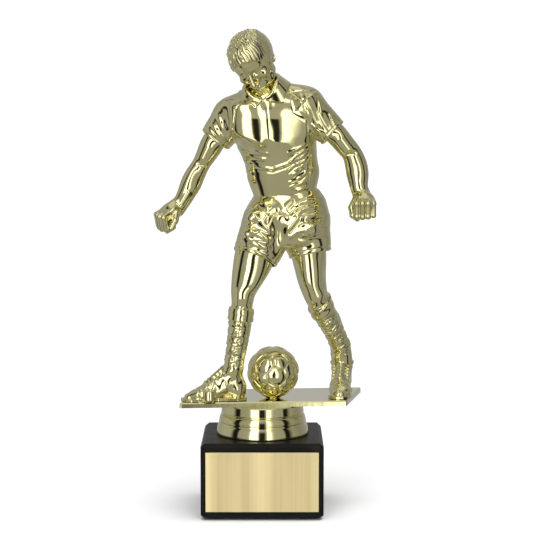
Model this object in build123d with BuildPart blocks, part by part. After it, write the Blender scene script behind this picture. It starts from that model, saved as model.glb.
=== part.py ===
from build123d import *
import os

# Figure trophy: a hollow moulded footballer with a ball on a sloped-end plate,
# a stepped round collar, and a drilled stone block, all drawn together by one
# M6 threaded rod. Millimetres, +Z up. The origin is on the rod's axis, in the
# plane that the four feet stand on. The engraved plate faces -Y.

os.makedirs("parts", exist_ok=True)

# ---------------------------------------------------------------- dimensions
# stone block
block_w = 50.8
block_z0 = 0.8
block_z1 = 32.0
block_bevel = 1.6
block_edge = 1.4
rod_hole_r = 3.5
recess_r = 12.0
recess_top = 14.0

# stick-on feet
pad_r = 4.5
pad_at = 17.5

# engraved plate and its tape
plaque_w = 46.6
plaque_h = 24.8
plaque_t = 0.5
plaque_z = 16.2
tape_t = 0.2

# M6 hardware
rod_r = 2.9
rod_z0 = 6.2
rod_z1 = 43.0
nut_af = 10.0
nut_t = 5.0
nut_bore_r = 2.95
washer_r = 9.0
washer_bore_r = 3.2
washer_t = 1.6

# collar
collar_z0 = block_z1
collar_z1 = 45.1
collar_bore_r = 8.2

# plate under the feet
plate_z0 = collar_z1
plate_z1 = 47.3
plate_corners = [(-34.7, -15.0), (35.5, -8.8), (43.2, 26.2), (-27.0, 20.0)]
boss_r = 8.0
boss_depth = 7.0

# ball
ball_r = 11.1
ball_wall = 1.6
ball_at = (4.5, -0.1, plate_z1 + ball_r - 0.25)
ball_parting = Plane(origin=ball_at, x_dir=(1, 0, 0), z_dir=(0, 1, 0))
peg_r = 1.6
peg_hole_r = 1.65

# figure stations: (centre, half width, half depth)
shirt_rings = [
    ((9.4, 3.0, 131.6), 14.9, 11.4),
    ((8.7, 2.6, 138.0), 14.3, 11.0),
    ((7.2, 1.5, 150.0), 15.2, 11.6),
    ((5.4, 0.2, 163.0), 16.6, 11.8),
    ((3.6, -1.0, 171.0), 14.5, 9.4),
    ((1.0, -2.4, 176.6), 7.2, 6.9),
]
shorts_rings = [
    ((9.5, 3.0, 134.4), 14.2, 11.0),
    ((10.0, 3.0, 126.0), 17.2, 12.6),
    ((9.6, 2.6, 115.5), 18.9, 12.8),
]
cavity_rings = [
    ((10.0, 3.0, 118.0), 13.5, 8.6),
    ((10.0, 3.0, 126.0), 14.8, 10.2),
    ((9.3, 2.8, 134.0), 12.0, 9.0),
    ((7.2, 1.5, 150.0), 13.0, 9.4),
    ((5.4, 0.2, 163.0), 14.2, 9.6),
    ((3.7, -0.9, 169.5), 10.5, 6.6),
]
torso_parting = Plane(
    origin=(7.5, 1.6, 150.0), x_dir=(1, -0.12, 0), z_dir=(0.12, 1, 0.085)
)

# sleeves and shorts legs: from, to, radius at each end
sleeve_r = [(-10.4, 1.4, 165.8), (-20.2, 3.0, 155.6), 8.4, 6.7]
sleeve_l = [(18.4, -3.0, 167.0), (29.6, -5.0, 158.4), 8.4, 6.6]
shorts_leg_r = [(3.0, 1.0, 123.0), (-3.2, -2.6, 106.6), 11.6, 9.7]
shorts_leg_l = [(17.4, 3.6, 123.0), (19.9, 1.8, 108.6), 11.2, 9.2]

# limb stations: (centre, radius across, radius deep)
arm_r = [
    ((-20.2, 3.0, 155.6), 4.1, 4.3),
    ((-25.4, 4.0, 145.6), 3.7, 3.8),
    ((-28.4, 3.3, 139.6), 4.4, 4.2),
    ((-34.4, 0.2, 128.6), 2.9, 3.3),
]
fist_r = ((-39.4, -2.6, 124.2), 12.0, 9.6, 8.6)
arm_l = [
    ((29.6, -5.0, 158.4), 4.1, 4.3),
    ((37.6, -4.6, 150.0), 3.8, 4.0),
    ((39.6, -6.0, 144.2), 4.6, 4.4),
    ((40.4, -8.6, 135.6), 3.4, 3.2),
]
fist_l = ((41.2, -11.4, 129.6), 12.2, 9.4, 11.0)
leg_r = [
    ((-3.2, -2.6, 106.6), 8.2, 8.4),
    ((-6.3, -5.0, 97.5), 6.1, 6.5),
    ((-8.4, -6.6, 89.0), 4.9, 5.3),
    ((-9.6, -7.2, 80.0), 5.2, 6.0),
    ((-11.3, -7.6, 69.0), 4.4, 4.8),
    ((-12.4, -7.8, 58.5), 4.4, 4.8),
]
leg_l = [
    ((19.9, 1.8, 108.6), 7.5, 8.2),
    ((22.0, 0.2, 98.5), 6.0, 6.4),
    ((24.2, 0.0, 89.5), 5.2, 5.6),
    ((28.2, 4.2, 79.5), 4.8, 5.8),
    ((33.6, 10.4, 67.5), 4.2, 4.6),
    ((35.4, 13.0, 58.5), 4.2, 4.6),
]
# rolled tops of the socks: (centre, ring radius, roll radius)
cuff_r = ((-9.0, -6.9, 85.0), 4.5, 1.3)
cuff_l = ((25.5, 1.3, 86.8), 4.6, 1.2)
# boots: heel point, toe point on the plate, then stations
# (share of length, width, height)
boot_stations = [
    (0.00, 6.8, 8.6),
    (0.14, 8.4, 11.2),
    (0.36, 8.6, 11.8),
    (0.58, 9.6, 8.0),
    (0.80, 9.8, 5.2),
    (1.00, 6.4, 3.4),
]
boot_r = ((-6.8, -6.6), (-33.0, -9.6))
boot_l = ((36.4, 19.6), (32.4, -6.4))

head_centre = (-4.2, -8.8, 190.2)
chin_at = (0.6, -12.6, 177.4)
crown_at = (-7.4, -5.2, 201.6)


def towards(a, b):
    return Vector(*b) - Vector(*a)


# ---------------------------------------------------------------- stone block
with BuildPart() as stone_block:
    with BuildSketch(Plane.XY.offset(block_z0)):
        Rectangle(block_w, block_w)
    extrude(amount=block_z1 - block_z0)
    chamfer(stone_block.edges().filter_by(Axis.Z), block_edge)
    chamfer(stone_block.faces().sort_by(Axis.Z)[-1].edges(), block_bevel)
    chamfer(stone_block.faces().sort_by(Axis.Z)[0].edges(), 1.2)
    with BuildSketch(Plane.XY.offset(block_z0)):
        Circle(recess_r)
    extrude(amount=recess_top - block_z0, mode=Mode.SUBTRACT)
    with BuildSketch(Plane.XY.offset(recess_top)):
        Circle(rod_hole_r)
    extrude(amount=block_z1 - recess_top, mode=Mode.SUBTRACT)
stone_block.part.label = "stone_block"
export_step(stone_block.part, "parts/stone_block.step")

# ---------------------------------------------------------------- stick-on feet
foot_names = {
    "foot_pad_front_left": (-pad_at, -pad_at),
    "foot_pad_front_right": (pad_at, -pad_at),
    "foot_pad_rear_left": (-pad_at, pad_at),
    "foot_pad_rear_right": (pad_at, pad_at),
}
for foot_name, (foot_x, foot_y) in foot_names.items():
    with BuildPart() as foot_pad:
        with BuildSketch(Plane.XY):
            with Locations((foot_x, foot_y)):
                Circle(pad_r)
        extrude(amount=block_z0)
        fillet(foot_pad.edges().group_by(Axis.Z)[0], 0.25)
    foot_pad.part.label = foot_name
    export_step(foot_pad.part, f"parts/{foot_name}.step")

# ---------------------------------------------------------------- engraved plate
front_y = -block_w / 2
with BuildPart() as plaque_tape:
    with BuildSketch(Plane.XZ.offset(-front_y)):
        with Locations((0, plaque_z)):
            Rectangle(plaque_w - 1.0, plaque_h - 1.0)
    extrude(amount=tape_t)
plaque_tape.part.label = "plaque_tape"
export_step(plaque_tape.part, "parts/plaque_tape.step")

with BuildPart() as plaque:
    with BuildSketch(Plane.XZ.offset(-front_y + tape_t)):
        with Locations((0, plaque_z)):
            Rectangle(plaque_w, plaque_h)
    extrude(amount=plaque_t)
    chamfer(plaque.faces().sort_by(Axis.Y)[0].edges(), 0.12)
plaque.part.label = "plaque"
export_step(plaque.part, "parts/plaque.step")

# ---------------------------------------------------------------- M6 hardware
with BuildPart() as threaded_rod:
    with BuildSketch(Plane.XY.offset(rod_z0)):
        Circle(rod_r)
    extrude(amount=rod_z1 - rod_z0)
    chamfer(threaded_rod.edges().filter_by(GeomType.CIRCLE), 0.6)
threaded_rod.part.label = "threaded_rod"
export_step(threaded_rod.part, "parts/threaded_rod.step")

with BuildPart() as clamp_washer:
    with BuildSketch(Plane.XY.offset(recess_top - washer_t)):
        Circle(washer_r)
        Circle(washer_bore_r, mode=Mode.SUBTRACT)
    extrude(amount=washer_t)
clamp_washer.part.label = "clamp_washer"
export_step(clamp_washer.part, "parts/clamp_washer.step")

nut_z0 = recess_top - washer_t - nut_t
with BuildPart() as clamp_nut:
    with BuildSketch(Plane.XY.offset(nut_z0)):
        RegularPolygon(nut_af / 2, 6, major_radius=False)
        Circle(nut_bore_r, mode=Mode.SUBTRACT)
    extrude(amount=nut_t)
    with BuildSketch(Plane.XY.offset(nut_z0)):
        Circle(nut_af / 2 * 1.16)
    extrude(amount=nut_t, mode=Mode.INTERSECT)
    chamfer(clamp_nut.edges().filter_by(GeomType.CIRCLE).sort_by(SortBy.RADIUS)[:2], 0.3)
clamp_nut.part.label = "clamp_nut"
export_step(clamp_nut.part, "parts/clamp_nut.step")

# ---------------------------------------------------------------- plate and captive nut
pocket_z1 = plate_z0 - 1.8
with BuildPart() as stage_plate:
    with BuildSketch(Plane.XY.offset(plate_z0)):
        with BuildLine():
            Polyline(*plate_corners, close=True)
        make_face()
    extrude(amount=plate_z1 - plate_z0)
    fillet(stage_plate.edges().filter_by(Axis.Z), 0.8)
    chamfer(stage_plate.faces().sort_by(Axis.Z)[-1].edges(), 0.5)
    with BuildSketch(Plane.XY.offset(plate_z0 - boss_depth)):
        Circle(boss_r)
    extrude(amount=boss_depth)
    with BuildSketch(Plane.XY.offset(plate_z0 - boss_depth)):
        RegularPolygon(nut_af / 2 + 0.05, 6, major_radius=False)
    extrude(amount=boss_depth - 1.8, mode=Mode.SUBTRACT)
    with BuildSketch(Plane.XY.offset(plate_z0)):
        with Locations(
            (ball_at[0], ball_at[1]),
            (-14.5, -7.5),
            (-25.5, -8.6),
            (36.4, 13.8),
            (33.8, 0.6),
        ):
            Circle(peg_hole_r)
    extrude(amount=plate_z1 - plate_z0, mode=Mode.SUBTRACT)
stage_plate.part.label = "stage_plate"
export_step(stage_plate.part, "parts/stage_plate.step")

with BuildPart() as captive_nut:
    with BuildSketch(Plane.XY.offset(pocket_z1 - nut_t)):
        RegularPolygon(nut_af / 2, 6, major_radius=False)
        Circle(nut_bore_r, mode=Mode.SUBTRACT)
    extrude(amount=nut_t)
captive_nut.part.label = "captive_nut"
export_step(captive_nut.part, "parts/captive_nut.step")

# ---------------------------------------------------------------- collar
with BuildPart() as collar:
    with BuildSketch(Plane.XZ):
        with BuildLine():
            Polyline(
                (collar_bore_r, 45.1),
                (16.8, 45.1),
                (17.2, 44.7),
                (17.5, 41.5),
                (17.1, 41.1),
                (17.1, 40.8),
            )
            Spline(
                (17.1, 40.8),
                (18.0, 39.8),
                (18.4, 38.3),
                tangents=((1.0, -0.2), (0.1, -1.0)),
            )
            Polyline((18.4, 38.3), (17.9, 38.0), (17.9, 37.7), (18.6, 37.4), (18.6, 36.8))
            Spline(
                (18.6, 36.8),
                (19.3, 34.8),
                (19.6, 32.4),
                tangents=((0.45, -0.8), (0.0, -1.0)),
            )
            Polyline(
                (19.6, 32.4),
                (19.2, 32.0),
                (17.2, 32.0),
                (16.6, 34.2),
                (15.2, 36.6),
                (14.6, 43.1),
                (collar_bore_r, 43.1),
                (collar_bore_r, 45.1),
            )
        make_face()
    revolve(axis=Axis.Z)
collar.part.label = "collar"
export_step(collar.part, "parts/collar.step")

# ---------------------------------------------------------------- ball halves
with BuildPart() as ball_whole:
    with Locations(ball_at):
        Sphere(ball_r)
        Sphere(ball_r - ball_wall, mode=Mode.SUBTRACT)
    with BuildSketch(Plane.XY.offset(plate_z1)):
        with Locations((ball_at[0], ball_at[1])):
            Circle(4.0)
    extrude(amount=1.6)
    with BuildSketch(Plane.XY.offset(plate_z0 + 0.2)):
        with Locations((ball_at[0], ball_at[1])):
            Circle(peg_r)
    extrude(amount=3.0)
    with BuildSketch(Plane.XY.offset(plate_z0)):
        with Locations((ball_at[0], ball_at[1])):
            Circle(14.0)
            Circle(peg_r, mode=Mode.SUBTRACT)
    extrude(amount=plate_z1 - plate_z0, mode=Mode.SUBTRACT)

with BuildPart() as ball_front_half:
    add(ball_whole.part)
    split(bisect_by=ball_parting, keep=Keep.BOTTOM)
ball_front_half.part.label = "ball_front_half"
export_step(ball_front_half.part, "parts/ball_front_half.step")

with BuildPart() as ball_back_half:
    add(ball_whole.part)
    split(bisect_by=ball_parting, keep=Keep.TOP)
ball_back_half.part.label = "ball_back_half"
export_step(ball_back_half.part, "parts/ball_back_half.step")

# ---------------------------------------------------------------- shirt and shorts shells
with BuildPart() as torso_whole:
    for centre, half_w, half_d in shirt_rings:
        with BuildSketch(Plane(origin=centre, x_dir=(1, -0.15, 0), z_dir=(0, 0, 1))):
            Ellipse(half_w, half_d)
    loft()
    for centre, half_w, half_d in shorts_rings:
        with BuildSketch(Plane(origin=centre, x_dir=(1, -0.05, 0), z_dir=(0, 0, 1))):
            Ellipse(half_w, half_d)
    loft()
    for start, end, r_start, r_end in (sleeve_r, sleeve_l, shorts_leg_r, shorts_leg_l):
        axis_way = towards(start, end)
        with BuildSketch(Plane(origin=start, z_dir=axis_way)):
            Circle(r_start)
        with BuildSketch(Plane(origin=end, z_dir=axis_way)):
            Circle(r_end)
        loft()
        with Locations(start):
            Sphere(r_start - 0.02)
    for centre, half_w, half_d in cavity_rings:
        with BuildSketch(Plane(origin=centre, x_dir=(1, -0.12, 0), z_dir=(0, 0, 1))):
            Ellipse(half_w, half_d)
    loft(mode=Mode.SUBTRACT)
    for start, end, socket_r, socket_deep in (
        (sleeve_r[0], sleeve_r[1], 2.55, 5.2),
        (sleeve_l[0], sleeve_l[1], 2.55, 5.2),
        (shorts_leg_r[0], shorts_leg_r[1], 4.05, 6.2),
        (shorts_leg_l[0], shorts_leg_l[1], 4.05, 6.2),
    ):
        back_way = towards(end, start)
        with BuildSketch(Plane(origin=end, z_dir=back_way)):
            Circle(socket_r)
        extrude(amount=socket_deep, mode=Mode.SUBTRACT)
    with BuildSketch(Plane(origin=(1.0, -2.4, 176.6), z_dir=(0, 0, -1))):
        Circle(3.05)
    extrude(amount=5.2, mode=Mode.SUBTRACT)

with BuildPart() as torso_front_shell:
    add(torso_whole.part)
    split(bisect_by=torso_parting, keep=Keep.BOTTOM)
torso_front_shell.part.label = "torso_front_shell"
export_step(torso_front_shell.part, "parts/torso_front_shell.step")

with BuildPart() as torso_back_shell:
    add(torso_whole.part)
    split(bisect_by=torso_parting, keep=Keep.TOP)
torso_back_shell.part.label = "torso_back_shell"
export_step(torso_back_shell.part, "parts/torso_back_shell.step")

# ---------------------------------------------------------------- arms
with BuildPart() as right_fist:
    with Locations(Plane(origin=fist_r[0], x_dir=(0.75, 0.3, 0.62), z_dir=(-0.62, -0.3, 0.75))):
        Box(fist_r[1], fist_r[2], fist_r[3])
    fillet(right_fist.edges(), 3.0)

with BuildPart() as left_fist:
    with Locations(Plane(origin=fist_l[0], x_dir=(1, 0, 0), z_dir=(0, -0.3, 1))):
        Box(fist_l[1], fist_l[2], fist_l[3])
    fillet(left_fist.edges(), 3.0)

with BuildPart() as right_arm:
    way = towards(sleeve_r[0], sleeve_r[1])
    for n, (centre, ra, rd) in enumerate(arm_r):
        z_way = way if n == 0 else towards(arm_r[n - 1][0], arm_r[min(n + 1, 3)][0])
        with BuildSketch(Plane(origin=centre, x_dir=(1, 0.1, 0.6), z_dir=z_way)):
            Ellipse(ra, rd)
    loft()
    with Locations(arm_r[3][0]):
        Sphere(3.2)
    with BuildSketch(Plane(origin=sleeve_r[1], z_dir=way * -1)):
        Circle(2.5)
    extrude(amount=5.0)
    add(right_fist.part)
right_arm.part.label = "right_arm"
export_step(right_arm.part, "parts/right_arm.step")

with BuildPart() as left_arm:
    way = towards(sleeve_l[0], sleeve_l[1])
    for n, (centre, ra, rd) in enumerate(arm_l):
        z_way = way if n == 0 else towards(arm_l[n - 1][0], arm_l[min(n + 1, 3)][0])
        with BuildSketch(Plane(origin=centre, x_dir=(1, -0.1, -0.6), z_dir=z_way)):
            Ellipse(ra, rd)
    loft()
    with Locations(arm_l[3][0]):
        Sphere(3.4)
    with BuildSketch(Plane(origin=sleeve_l[1], z_dir=way * -1)):
        Circle(2.5)
    extrude(amount=5.0)
    add(left_fist.part)
left_arm.part.label = "left_arm"
export_step(left_arm.part, "parts/left_arm.step")


# ---------------------------------------------------------------- legs with boots
with BuildPart() as right_leg:
    way = towards(shorts_leg_r[0], shorts_leg_r[1])
    for n, (centre, ra, rd) in enumerate(leg_r):
        z_way = way if n == 0 else ((0, 0, -1) if n == 5 else towards(leg_r[n - 1][0], leg_r[n + 1][0]))
        with BuildSketch(Plane(origin=centre, x_dir=(1, 0.05, 0), z_dir=z_way)):
            Ellipse(ra, rd)
    loft()
    with BuildSketch(Plane(origin=leg_r[0][0], z_dir=way * -1)):
        Circle(4.0)
    extrude(amount=6.0)
    with Locations(Plane(origin=cuff_r[0], z_dir=towards(leg_r[3][0], leg_r[1][0]))):
        Torus(cuff_r[1], cuff_r[2])
    heel, toe = boot_r
    along = Vector(toe[0] - heel[0], toe[1] - heel[1], 0)
    side = along.cross(Vector(0, 0, 1))
    for share, wide, high in boot_stations:
        at = Vector(heel[0], heel[1], plate_z1 + high / 2) + along * share
        with BuildSketch(Plane(origin=at, x_dir=side, z_dir=along)):
            RectangleRounded(wide, high, min(high * 0.42, 2.6))
    loft()
    with BuildSketch(Plane.XY.offset(plate_z0 + 0.2)):
        with Locations((-14.5, -7.5), (-25.5, -8.6)):
            Circle(peg_r)
    extrude(amount=3.2)
right_leg.part.label = "right_leg"
export_step(right_leg.part, "parts/right_leg.step")

with BuildPart() as left_leg:
    way = towards(shorts_leg_l[0], shorts_leg_l[1])
    for n, (centre, ra, rd) in enumerate(leg_l):
        z_way = way if n == 0 else ((0, 0, -1) if n == 5 else towards(leg_l[n - 1][0], leg_l[n + 1][0]))
        with BuildSketch(Plane(origin=centre, x_dir=(1, 0.05, 0), z_dir=z_way)):
            Ellipse(ra, rd)
    loft()
    with BuildSketch(Plane(origin=leg_l[0][0], z_dir=way * -1)):
        Circle(4.0)
    extrude(amount=6.0)
    with Locations(Plane(origin=cuff_l[0], z_dir=towards(leg_l[3][0], leg_l[1][0]))):
        Torus(cuff_l[1], cuff_l[2])
    heel, toe = boot_l
    along = Vector(toe[0] - heel[0], toe[1] - heel[1], 0)
    side = along.cross(Vector(0, 0, 1))
    for share, wide, high in boot_stations:
        at = Vector(heel[0], heel[1], plate_z1 + high / 2) + along * share
        with BuildSketch(Plane(origin=at, x_dir=side, z_dir=along)):
            RectangleRounded(wide, high, min(high * 0.42, 2.6))
    loft()
    with BuildSketch(Plane.XY.offset(plate_z0 + 0.2)):
        with Locations((36.4, 13.8), (33.8, 0.6)):
            Circle(peg_r)
    extrude(amount=3.2)
left_leg.part.label = "left_leg"
export_step(left_leg.part, "parts/left_leg.step")

# ---------------------------------------------------------------- head
with BuildPart() as head:
    head_way = towards(chin_at, crown_at)
    skull = [
        (0.02, 3.4, 3.6),
        (0.16, 6.2, 7.0),
        (0.36, 7.9, 9.4),
        (0.58, 9.4, 11.0),
        (0.78, 9.4, 10.8),
        (0.93, 6.6, 7.6),
        (1.0, 2.6, 3.2),
    ]
    for share, ra, rd in skull:
        at = Vector(*chin_at) + head_way * share + Vector(0, 2.6 * share, 0)
        with BuildSketch(Plane(origin=at, x_dir=(1, -0.2, 0.3), z_dir=head_way)):
            Ellipse(ra, rd)
    loft()
    with BuildSketch(Plane(origin=(1.0, -2.4, 176.6), z_dir=(0, 0, 1))):
        Ellipse(5.2, 5.0)
    with BuildSketch(Plane(origin=(-1.4, -5.0, 186.0), z_dir=(0, -0.2, 1))):
        Ellipse(5.4, 5.4)
    loft()
    with BuildSketch(Plane(origin=(1.0, -2.4, 176.6), z_dir=(0, 0, -1))):
        Circle(3.0)
    extrude(amount=5.0)
head.part.label = "head"
export_step(head.part, "parts/head.step")
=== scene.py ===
import math

import bpy
import numpy as np
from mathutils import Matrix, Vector


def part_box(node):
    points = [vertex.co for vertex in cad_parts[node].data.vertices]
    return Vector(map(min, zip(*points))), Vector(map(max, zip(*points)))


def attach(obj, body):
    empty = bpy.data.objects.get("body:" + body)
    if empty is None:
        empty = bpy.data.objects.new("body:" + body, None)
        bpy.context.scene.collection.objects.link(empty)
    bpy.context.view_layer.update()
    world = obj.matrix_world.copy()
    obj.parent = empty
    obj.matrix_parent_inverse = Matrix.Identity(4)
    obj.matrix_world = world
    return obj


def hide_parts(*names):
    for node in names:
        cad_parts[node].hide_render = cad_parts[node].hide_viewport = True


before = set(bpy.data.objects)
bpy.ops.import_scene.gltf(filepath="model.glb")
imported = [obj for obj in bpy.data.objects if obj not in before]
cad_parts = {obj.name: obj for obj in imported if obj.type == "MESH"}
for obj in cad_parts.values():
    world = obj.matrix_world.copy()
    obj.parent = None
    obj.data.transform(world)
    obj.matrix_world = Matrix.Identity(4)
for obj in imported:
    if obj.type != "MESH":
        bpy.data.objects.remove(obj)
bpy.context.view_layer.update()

# Sizes in this file are in millimetres until a mesh is made.

# ------------------------------------------------------------------ camera
TILT = math.radians(5.5)
REACH = 700.0
AIM = Vector((5.3, 0.0, 99.417))
cam_data = bpy.data.cameras.new("camera")
cam_data.sensor_width = 36.0
cam_data.lens = 108.6
cam_data.clip_start, cam_data.clip_end = 0.05, 60.0
cam = bpy.data.objects.new("camera", cam_data)
bpy.context.scene.collection.objects.link(cam)
cam.location = (AIM - REACH * Vector((0, math.cos(TILT), -math.sin(TILT)))) / 1000
cam.rotation_euler = (math.pi / 2 - TILT, 0, 0)
bpy.context.scene.camera = cam


# ------------------------------------------------------------------ distance fields
def unit(v):
    v = np.asarray(v, float)
    return v / np.linalg.norm(v)


def smin(a, b, k):
    h = np.clip(0.5 + 0.5 * (b - a) / k, 0, 1)
    return b * (1 - h) + a * h - k * h * (1 - h)


def smax(a, b, k):
    return -smin(-a, -b, k)


def step(e0, e1, x):
    t = np.clip((x - e0) / (e1 - e0), 0, 1)
    return t * t * (3 - 2 * t)


FAR = 6.0


def near(P, lo, hi, fn):
    """fn over the points in a box; far away everywhere else."""
    m = np.all((P > np.asarray(lo)) & (P < np.asarray(hi)), axis=1)
    out = np.full(len(P), FAR)
    if m.any():
        out[m] = fn(P[m])
    return out


def around(P, pts, reach, fn):
    pts = np.asarray(pts, float)
    return near(P, pts.min(0) - reach, pts.max(0) + reach, fn)


def ball(P, c, r):
    return np.linalg.norm(P - np.asarray(c, float), axis=1) - r


def cap(P, a, b, ra, rb=None):
    """Tapered capsule."""
    rb = ra if rb is None else rb
    a, b = np.asarray(a, float), np.asarray(b, float)
    d = b - a
    t = np.clip((P - a) @ d / (d @ d), 0, 1)
    return np.linalg.norm(P - a - t[:, None] * d, axis=1) - (ra + (rb - ra) * t)


def ncap(P, a, b, ra, rb=None, reach=None):
    rb = ra if rb is None else rb
    return around(P, [a, b], (max(ra, rb) + 3.0) if reach is None else reach, lambda Q: cap(Q, a, b, ra, rb))


def ell(P, c, r, axes=None):
    q = P - np.asarray(c, float)
    if axes is not None:
        q = q @ np.asarray(axes, float).T
    r = np.asarray(r, float)
    k0 = np.linalg.norm(q / r, axis=1)
    k1 = np.linalg.norm(q / (r * r), axis=1) + 1e-9
    return k0 * (k0 - 1) / k1


def nell(P, c, r, axes=None):
    R = float(max(r)) + 3.0
    return around(P, [c], R, lambda Q: ell(Q, c, r, axes))


def rbox(P, c, half, rnd, axes=None):
    q = P - np.asarray(c, float)
    if axes is not None:
        q = q @ np.asarray(axes, float).T
    q = np.abs(q) - (np.asarray(half, float) - rnd)
    return np.linalg.norm(np.maximum(q, 0), axis=1) + np.minimum(q.max(1), 0) - rnd


def ring(P, c, axis, R, r, squash=1.0):
    axis = unit(axis)
    q = P - np.asarray(c, float)
    h = q @ axis
    rad = np.linalg.norm(q - h[:, None] * axis, axis=1)
    return np.hypot(rad - R, h * squash) - r


def cone(P, a, b, ra, rb, rim=0.35):
    """Truncated cone with flat ends and softened rims."""
    a, b = np.asarray(a, float), np.asarray(b, float)
    L = np.linalg.norm(b - a)
    w = (b - a) / L
    q = P - a
    h = q @ w
    rad = np.linalg.norm(q - h[:, None] * w, axis=1)
    R = ra + (rb - ra) * np.clip(h / L, -0.5, 1.5)
    side = (rad - R) / math.hypot(1, (rb - ra) / L)
    return smax(side, np.abs(h - L / 2) - L / 2, rim)


def smooth_rows(rows, n):
    """Catmull-Rom through rows of numbers, n steps a span."""
    rows = np.asarray(rows, float)
    ext = np.vstack([2 * rows[0] - rows[1], rows, 2 * rows[-1] - rows[-2]])
    out = []
    for i in range(1, len(ext) - 2):
        p0, p1, p2, p3 = ext[i - 1 : i + 3]
        for t in np.linspace(0, 1, n, endpoint=False):
            out.append(
                0.5 * (2 * p1 + (p2 - p0) * t + (2 * p0 - 5 * p1 + 4 * p2 - p3) * t * t + (3 * p1 - p0 - 3 * p2 + p3) * t**3)
            )
    out.append(rows[-1])
    return np.array(out)


def tube(P, rows, n=5, reach=4.0, x_hint=(1, 0, 0), want=False):
    """Elliptical tube through (x, y, z, r across, r deep). want also gives each point's place along it."""
    C = smooth_rows(rows, n)
    m = np.all((P > C[:, :3].min(0) - C[:, 3:].max() - reach) & (P < C[:, :3].max(0) + C[:, 3:].max() + reach), axis=1)
    out = np.full(len(P), FAR)
    where = np.zeros(len(P))
    Q = P[m]
    best = np.full(len(Q), 1e9)
    off = np.zeros((len(Q), 3))
    par = np.zeros(len(Q))
    for i in range(len(C) - 1):
        a, b = C[i, :3], C[i + 1, :3]
        d = b - a
        t = np.clip((Q - a) @ d / (d @ d), 0, 1)
        v = Q - a - t[:, None] * d
        dd = (v * v).sum(1)
        k = dd < best
        best[k], off[k], par[k] = dd[k], v[k], i + t[k]
    i0 = np.minimum(par.astype(int), len(C) - 2)
    fr = par - i0
    tang = C[i0 + 1, :3] - C[i0, :3]
    tang /= np.linalg.norm(tang, axis=1)[:, None]
    rx = C[i0, 3] * (1 - fr) + C[i0 + 1, 3] * fr
    ry = C[i0, 4] * (1 - fr) + C[i0 + 1, 4] * fr
    xh = np.asarray(x_hint, float)
    ax = xh - (tang @ xh)[:, None] * tang
    ax /= np.linalg.norm(ax, axis=1)[:, None]
    ay = np.cross(tang, ax)
    u, v, w = (off * ax).sum(1), (off * ay).sum(1), (off * tang).sum(1)
    rm = (rx + ry) / 2
    k0 = np.sqrt((u / rx) ** 2 + (v / ry) ** 2 + (w / rm) ** 2)
    k1 = np.sqrt((u / rx**2) ** 2 + (v / ry**2) ** 2 + (w / rm**2) ** 2) + 1e-9
    out[m] = k0 * (k0 - 1) / k1
    where[m] = par / (len(C) - 1)
    return (out, where) if want else out


def slices(P, rows, exponent=2.3, cap_k=1.2):
    """Body of stacked superellipses: rows of (z, centre x, centre y, half width, half depth, yaw in degrees)."""
    T = smooth_rows(rows, 6)
    T = T[np.argsort(T[:, 0])]
    z = P[:, 2]
    cx, cy, rx, ry, yaw = (np.interp(z, T[:, 0], T[:, i]) for i in range(1, 6))
    a = np.radians(yaw)
    x, y = P[:, 0] - cx, P[:, 1] - cy
    u, v = x * np.cos(a) + y * np.sin(a), -x * np.sin(a) + y * np.cos(a)
    k = (np.abs(u / rx) ** exponent + np.abs(v / ry) ** exponent) ** (1 / exponent) + 1e-6
    r = np.hypot(u, v)
    d = (k - 1) / k * r
    return smax(smax(d, z - T[-1, 0], cap_k), T[0, 0] - z, cap_k)


rng = np.random.default_rng(11)
WAVES = [(unit(rng.normal(size=3)), rng.uniform(0, 6.283)) for _ in range(14)]


def noise(P, size):
    """Smooth seeded noise, about -1 to 1, with bumps about size mm across."""
    out = np.zeros(len(P))
    for i, (d, ph) in enumerate(WAVES):
        out += np.sin(P @ d * (3.0 + 0.35 * (i % 7)) / size + ph)
    return out / 5.0


def folds(P, lines, side=-1):
    """Drapery: rows of (x1, z1, x2, z2, width, height), laid out in x and z. side is not used.
    A ridge with a hollow along its lower side; the height fades at both ends."""
    x, z = P[:, 0], P[:, 2]
    out = np.zeros(len(P))
    for x1, z1, x2, z2, w, amp in lines:
        dx, dz = x2 - x1, z2 - z1
        L = math.hypot(dx, dz)
        m = (
            (x > min(x1, x2) - 3.2 * w) & (x < max(x1, x2) + 3.2 * w)
            & (z > min(z1, z2) - 3.2 * w) & (z < max(z1, z2) + 3.2 * w)
        )
        if not m.any():
            continue
        xm, zm = x[m] - x1, z[m] - z1
        t = (xm * dx + zm * dz) / (L * L)
        s = (xm * dz - zm * dx) / L
        if dx < 0:
            s = -s
        fade = step(-0.08, 0.28, t) * step(1.08, 0.72, t)
        out[m] += amp * fade * (np.exp(-((s / w) ** 2)) - 0.62 * np.exp(-(((s - 1.45 * w) / (0.85 * w)) ** 2)))
    return out


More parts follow.
